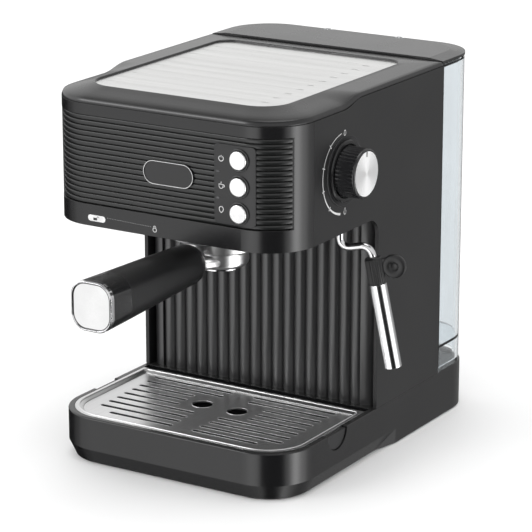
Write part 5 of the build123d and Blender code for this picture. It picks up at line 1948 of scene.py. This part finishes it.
@dataclass
class SteamWand:
    """The swivelling steam pipe with its rubber grip, and the frothing sleeve."""

    ridges: int = 22
    ridge_depth: float = 0.5
    segments: int = 264
    lean: float = 0.196
    plane_deg: float = 17.0
    grip_radius: float = 6.5
    grip_bore: float = 2.75
    grip_top: float = 159.5
    grip_low: float = 140.2
    shoulder: tuple[float, float] = (22.6, 168.3)
    tab_radius: float = 8.7
    tab_thickness: float = 4.0
    tab_reach: float = 14.5
    tab_rise: float = 4.0

    def dress(self) -> None:
        """Finish the wand's nodes."""
        dress(
            {
                "wand_socket": DEEP_BLACK,
                "wand_pipe": CHROME,
                "wand_collar": DEEP_BLACK,
                "wand_tip": PLAIN_STEEL,
                "frothing_sleeve": SLEEVE_STEEL,
            }
        )

    def place(self, out: float, z: float) -> Vector:
        """A point of the wand's plane, out from the swivel, in millimetres."""
        a = math.radians(self.plane_deg)
        return Vector((86.5 + out * math.cos(a), -44.0 + out * math.sin(a), z))

    def build_grip(self) -> None:
        """Mould the ridged grip."""

        def on_wand(z: float) -> Vector:
            """The pipe's centre at a height."""
            return self.place(self.shoulder[0] + (self.shoulder[1] - z) * self.lean, z)

        top, low = on_wand(self.grip_top), on_wand(self.grip_low)
        down = (low - top).normalized()
        a = math.radians(self.plane_deg)
        side = Vector((-math.sin(a), math.cos(a), 0))
        front = down.cross(side)
        length = (low - top).length
        radius, bore = self.grip_radius, self.grip_bore
        profile = [
            (0.0, bore), (0.0, radius - 1.4), (0.4, radius - 0.6), (1.2, radius - 0.2), (1.8, radius),
            (length - 1.2, radius), (length - 0.6, radius - 0.1), (length, radius - 0.5), (length, 5.7),
            (length - 3, 5.6), (length - 3, bore),
        ]
        ridged = (4, 5)
        rows = []
        for along, r in profile:
            row = []
            for k in range(self.segments):
                t = 2 * math.pi * k / self.segments
                row.append((top + down * along + (side * math.cos(t) + front * math.sin(t)) * r) * MM)
            rows.append(row)

        def outward(_: int, j: int) -> Vector:
            """The direction away from the pipe's centre line."""
            t = 2 * math.pi * j / self.segments
            return side * math.cos(t) + front * math.sin(t)

        skin = SkinMaker(
            rows,
            runs=lambda i, j: j / self.segments,
            outward=outward,
            share=lambda i, j: 1.0 if i in ridged else 0.0,
            capped=False,
        )
        ripples = RippledSkin("grip_ridges", Wave.GROOVE, 1.0 / self.ridges, self.ridge_depth * MM, 0.5)
        mesh = ripples.mesh(skin.mesh(), GRIP_RUBBER)
        piece = show("ridged_wand_grip", mesh, GRIP_RUBBER, 45.0)
        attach(piece, Body.WAND.value)
        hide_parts("wand_grip")
        LOG.info("piece %s: %d ridges", piece.name, self.ridges)

    def build_tab(self) -> None:
        """Mould the round finger tab, with a dimple in each face, and its web to the grip."""
        a = math.radians(self.plane_deg)
        out_dir, side = Vector((math.cos(a), math.sin(a), 0)), Vector((-math.sin(a), math.cos(a), 0))
        z = (self.grip_top + self.grip_low) / 2 + self.tab_rise
        centre = self.place(self.shoulder[0] + (self.shoulder[1] - z) * self.lean + self.tab_reach, z)
        half, radius = self.tab_thickness / 2, self.tab_radius
        near = [
            (1.3, 0.01), (1.2, 1.6), (0.9, 2.6), (0.3, 3.3), (0.0, 3.9), (0.0, radius - 0.9),
            (0.3, radius - 0.3), (0.9, radius),
        ]
        profile = [(-half + depth, r) for depth, r in near]
        profile += [(half - depth, r) for depth, r in reversed(near)]
        up = Vector((0, 0, 1))
        rings = []
        for along, r in profile:
            turn = ring_points(0, 0, r, count=64)
            rings.append([(centre + side * along + out_dir * x + up * z) * MM for x, z in turn])
        mesh = loft(rings)
        piece = show("wand_tab", mesh, GRIP_RUBBER, 50.0)
        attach(piece, Body.WAND.value)
        web = self.web(centre, out_dir, side)
        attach(web, Body.WAND.value)
        LOG.info("pieces wand_tab, wand_tab_web")

    def web(self, centre: Vector, out_dir: Vector, side: Vector) -> bpy.types.Object:
        """The web between the tab and the grip.

        Args:
            centre: The tab's centre in millimetres.
            out_dir: The direction out from the swivel.
            side: The direction through the tab.

        Returns:
            The web's object.
        """
        up = Vector((0, 0, 1))
        rings = []
        for share in (0.0, 0.35, 0.7, 1.0):
            away = 5.0 + 6.5 * share
            half, height = 1.9 - 0.25 * math.sin(share * math.pi), 6.4 - 0.9 * math.sin(share * math.pi)
            outline = rounded_outline((-half, -height), (half, height), [0.7] * 4, 60.0, 5)
            rings.append([(centre - out_dir * away + side * x + up * y) * MM for x, y in outline])
        return show("wand_tab_web", loft(rings), GRIP_RUBBER, 50.0)


@dataclass
class WaterTank:
    """The clear tank at the back, its valve, seat and lid."""

    def dress(self) -> None:
        """Finish the tank's nodes."""
        dress(
            {
                "water_tank": TANK_CLEAR,
                "tank_lid": RIM_BLACK,
                "tank_valve": DEEP_BLACK,
                "tank_socket": DEEP_BLACK,
            }
        )


@dataclass
class Works:
    """What is inside the housing: boiler, pump, valve, hoses and fasteners."""

    def dress(self) -> None:
        """Finish the inner nodes."""
        dress(
            {
                "boiler": CAST_ALLOY,
                "boiler_lid": CAST_ALLOY,
                "boiler_bracket": PLAIN_STEEL,
                "thermostats": BRASS,
                "screws": PLAIN_STEEL,
                "pump": PLAIN_STEEL,
                "pump_mounts": SOFT_RUBBER,
                "steam_valve": BRASS,
                "suction_hose": HOSE_RUBBER,
                "pressure_hose": HOSE_RUBBER,
                "steam_hose": HOSE_RUBBER,
            }
        )


ROOM_STRENGTH = 3.0  # the background's strength; the room's colours are divided by it


@dataclass
class Studio:
    """The pale floor, the soft light and the camera."""

    eye: Point = (0.98494, -1.60155, 0.67966)
    azimuth_deg: float = 31.67
    pitch_deg: float = 16.39
    lens: float = 176.2

    low_glow: tuple[Spot, ...] = (
        (-180, 0.3), (-150, 0.03), (-96, 0.02), (-76, 0.35), (-56, 1.0), (-31, 1.35), (-8, 2.1), (5, 1.9),
        (17, 0.03), (60, 0.0), (74, 1.2), (93, 5.2), (112, 2.1), (132, 0.7), (148, 0.4), (180, 0.3),
    )
    even_glow: float = 1.15
    high_glow: tuple[Spot, ...] = (
        (-178, 0.65), (-150, 0.92), (-125, 1.0), (-100, 1.3), (-70, 1.7),
        (-34, 1.5), (0, 0.8), (60, 0.9), (146, 0.7), (180, 0.6),
    )

    def build_floor(self) -> None:
        """Lay a large pale floor that glossy pieces don't mirror."""
        work = bmesh.new()
        bmesh.ops.create_grid(work, x_segments=24, y_segments=24, size=6.0)
        mesh = bpy.data.meshes.new("floor")
        work.to_mesh(mesh)
        work.free()
        material, graph, shader, place = fresh_material("studio_floor")
        cloud = GRAIN.place(graph, Vector=place, Fineness=30.0, Patches=2.0)
        tone = graph.mix(cloud.outputs["Tint"], (0.86, 0.86, 0.86, 1.0), (0.89, 0.89, 0.89, 1.0))
        graph.tree.links.new(tone, shader.inputs["Base Color"])
        shader.inputs["Roughness"].default_value = 0.7
        shader.inputs["Specular IOR Level"].default_value = 0.2
        path = graph.add("ShaderNodeLightPath")
        clear = graph.add("ShaderNodeBsdfTransparent")
        both = graph.add(
            "ShaderNodeMixShader",
            {0: path.outputs["Is Glossy Ray"], 1: shader.outputs[0], 2: clear.outputs[0]},
        )
        out = next(node for node in graph.tree.nodes if node.type == "OUTPUT_MATERIAL")
        graph.tree.links.new(both.outputs[0], out.inputs[0])
        mesh.materials.append(material)
        floor = bpy.data.objects.new("studio_floor", mesh)
        bpy.context.scene.collection.objects.link(floor)

    def glow(
        self, graph: Graph, turn: bpy.types.NodeSocket, stops: Sequence[Spot]
    ) -> bpy.types.NodeSocket:
        """The room's brightness round the compass.

        Args:
            graph: The world's graph.
            turn: The compass direction, 0 to 1, with the machine's front at a half.
            stops: Degrees from the front, and the brightness there.

        Returns:
            The socket that holds the brightness, less the background's own strength.
        """
        ramp = graph.add("ShaderNodeValToRGB", {0: turn})
        elements = ramp.color_ramp.elements
        while len(elements) < len(stops):
            elements.new(0.5)
        for element, (degrees, _) in zip(elements, stops):
            element.position = degrees / 360 + 0.5
        for element, (_, bright) in zip(elements, stops):
            element.color = opaque((bright / ROOM_STRENGTH,) * 3)
        ramp.color_ramp.interpolation = "EASE"
        return ramp.outputs[0]

    def build_light(self) -> None:
        """Hang the softboxes, and shade the room so that the rounded corners catch dark and light."""
        self.softbox("front_softbox", (-1.25, -1.85, 1.25), (0.0, -0.1, 0.2), (1.3, 0.7), 14.0)
        self.softbox("top_softbox", (0.2, 0.3, 2.4), (0.0, 0.0, 0.2), (1.6, 1.6), 16.0)
        world = bpy.data.worlds.new("studio_world")
        bpy.context.scene.world = world
        world.use_nodes = True
        graph = Graph(world.node_tree)
        back = next(node for node in world.node_tree.nodes if node.type == "BACKGROUND")
        out = next(node for node in world.node_tree.nodes if node.type == "OUTPUT_WORLD")
        way = graph.add("ShaderNodeSeparateXYZ", {0: graph.add("ShaderNodeTexCoord").outputs["Generated"]})
        ahead = graph.math("MULTIPLY", way.outputs[1], -1.0)
        turn = graph.math("MULTIPLY_ADD", graph.math("ARCTAN2", way.outputs[0], ahead), 0.5 / math.pi, 0.5)
        rise = graph.add(
            "ShaderNodeMapRange",
            {"Value": way.outputs[2], "From Min": -0.12, "From Max": 0.1},
            interpolation_type="SMOOTHSTEP",
        )
        under = graph.add(
            "ShaderNodeMapRange",
            {"Value": way.outputs[2], "From Min": -0.95, "From Max": -0.5, "To Min": 0.35, "To Max": 1.0},
            interpolation_type="SMOOTHSTEP",
        )
        low, high = self.glow(graph, turn, self.low_glow), self.glow(graph, turn, self.high_glow)
        room = graph.mix(rise.outputs[0], low, high)
        over = graph.add(
            "ShaderNodeMapRange",
            {"Value": way.outputs[2], "From Min": 0.66, "From Max": 0.8, "To Min": 1.0, "To Max": 0.2},
            interpolation_type="SMOOTHSTEP",
        )
        path = graph.add("ShaderNodeLightPath")
        matt = graph.math("SUBTRACT", 1.0, path.outputs["Is Glossy Ray"])
        lit = graph.math("MULTIPLY", under.outputs[0], over.outputs[0])
        shaded = graph.mix(lit, (0.0, 0.0, 0.0, 1.0), room)
        even = graph.mix(matt, shaded, opaque((self.even_glow / ROOM_STRENGTH,) * 3))
        graph.tree.links.new(even, back.inputs["Color"])
        back.inputs["Strength"].default_value = ROOM_STRENGTH
        seen = graph.add("ShaderNodeBackground", {"Color": (1.0, 1.0, 1.0, 1.0), "Strength": 1.0})
        direct = graph.math("MAXIMUM", path.outputs["Is Camera Ray"], path.outputs["Is Transmission Ray"])
        both = graph.add("ShaderNodeMixShader", {0: direct, 1: back.outputs[0], 2: seen.outputs[0]})
        graph.tree.links.new(both.outputs[0], out.inputs[0])

    def softbox(self, name: str, spot: Point, aim: Point, size: tuple[float, float], power: float) -> None:
        """Hang one softbox.

        Args:
            name: The light's name.
            spot: Where it hangs.
            aim: What it points at.
            size: Its width and height.
            power: Its power in watts.
        """
        data = bpy.data.lights.new(name, "AREA")
        data.shape = "RECTANGLE"
        data.size, data.size_y = size
        data.energy = power
        lamp = bpy.data.objects.new(name, data)
        lamp.location = spot
        lamp.rotation_mode = "QUATERNION"
        lamp.rotation_quaternion = (Vector(aim) - Vector(spot)).to_track_quat("-Z", "Y")
        bpy.context.scene.collection.objects.link(lamp)

    def build_camera(self) -> None:
        """Set the camera at its viewing angle."""
        data = bpy.data.cameras.new("camera")
        data.lens = self.lens
        data.sensor_width = 36.0
        data.clip_start, data.clip_end = 0.05, 50.0
        camera = bpy.data.objects.new("camera", data)
        camera.location = self.eye
        camera.rotation_euler = (math.radians(90 - self.pitch_deg), 0.0, math.radians(self.azimuth_deg))
        bpy.context.scene.collection.objects.link(camera)
        bpy.context.scene.camera = camera


def main() -> None:
    """Build and finish every sub-assembly."""
    logging.basicConfig(level=logging.INFO, format="%(name)s: %(message)s")
    bpy.context.scene.view_settings.view_transform = "Standard"
    studio = Studio()
    studio.build_camera()
    studio.build_floor()
    studio.build_light()
    casing = Casing()
    casing.dress()
    casing.build_seam()
    FlutedColumn().build()
    head = HeadFront()
    head.dress()
    head.build_ribs()
    head.build_badge_line()
    head.build_icons()
    head.build_lock_scale()
    TopFrame().build()
    WarmerPlate().build()
    station = DripStation()
    station.dress()
    station.build_ramp()
    station.build_bead()
    station.build_lips()
    station.build_drip_wells()
    holder = FilterHolder()
    holder.dress()
    holder.build_end_joint()
    knob = SteamKnob()
    knob.dress()
    knob.build_dial()
    knob.build_shell()
    knob.build_pointer()
    knob.build_scale()
    wand = SteamWand()
    wand.dress()
    wand.build_grip()
    wand.build_tab()
    WaterTank().dress()
    Works().dress()


if __name__ == "__main__":
    main()
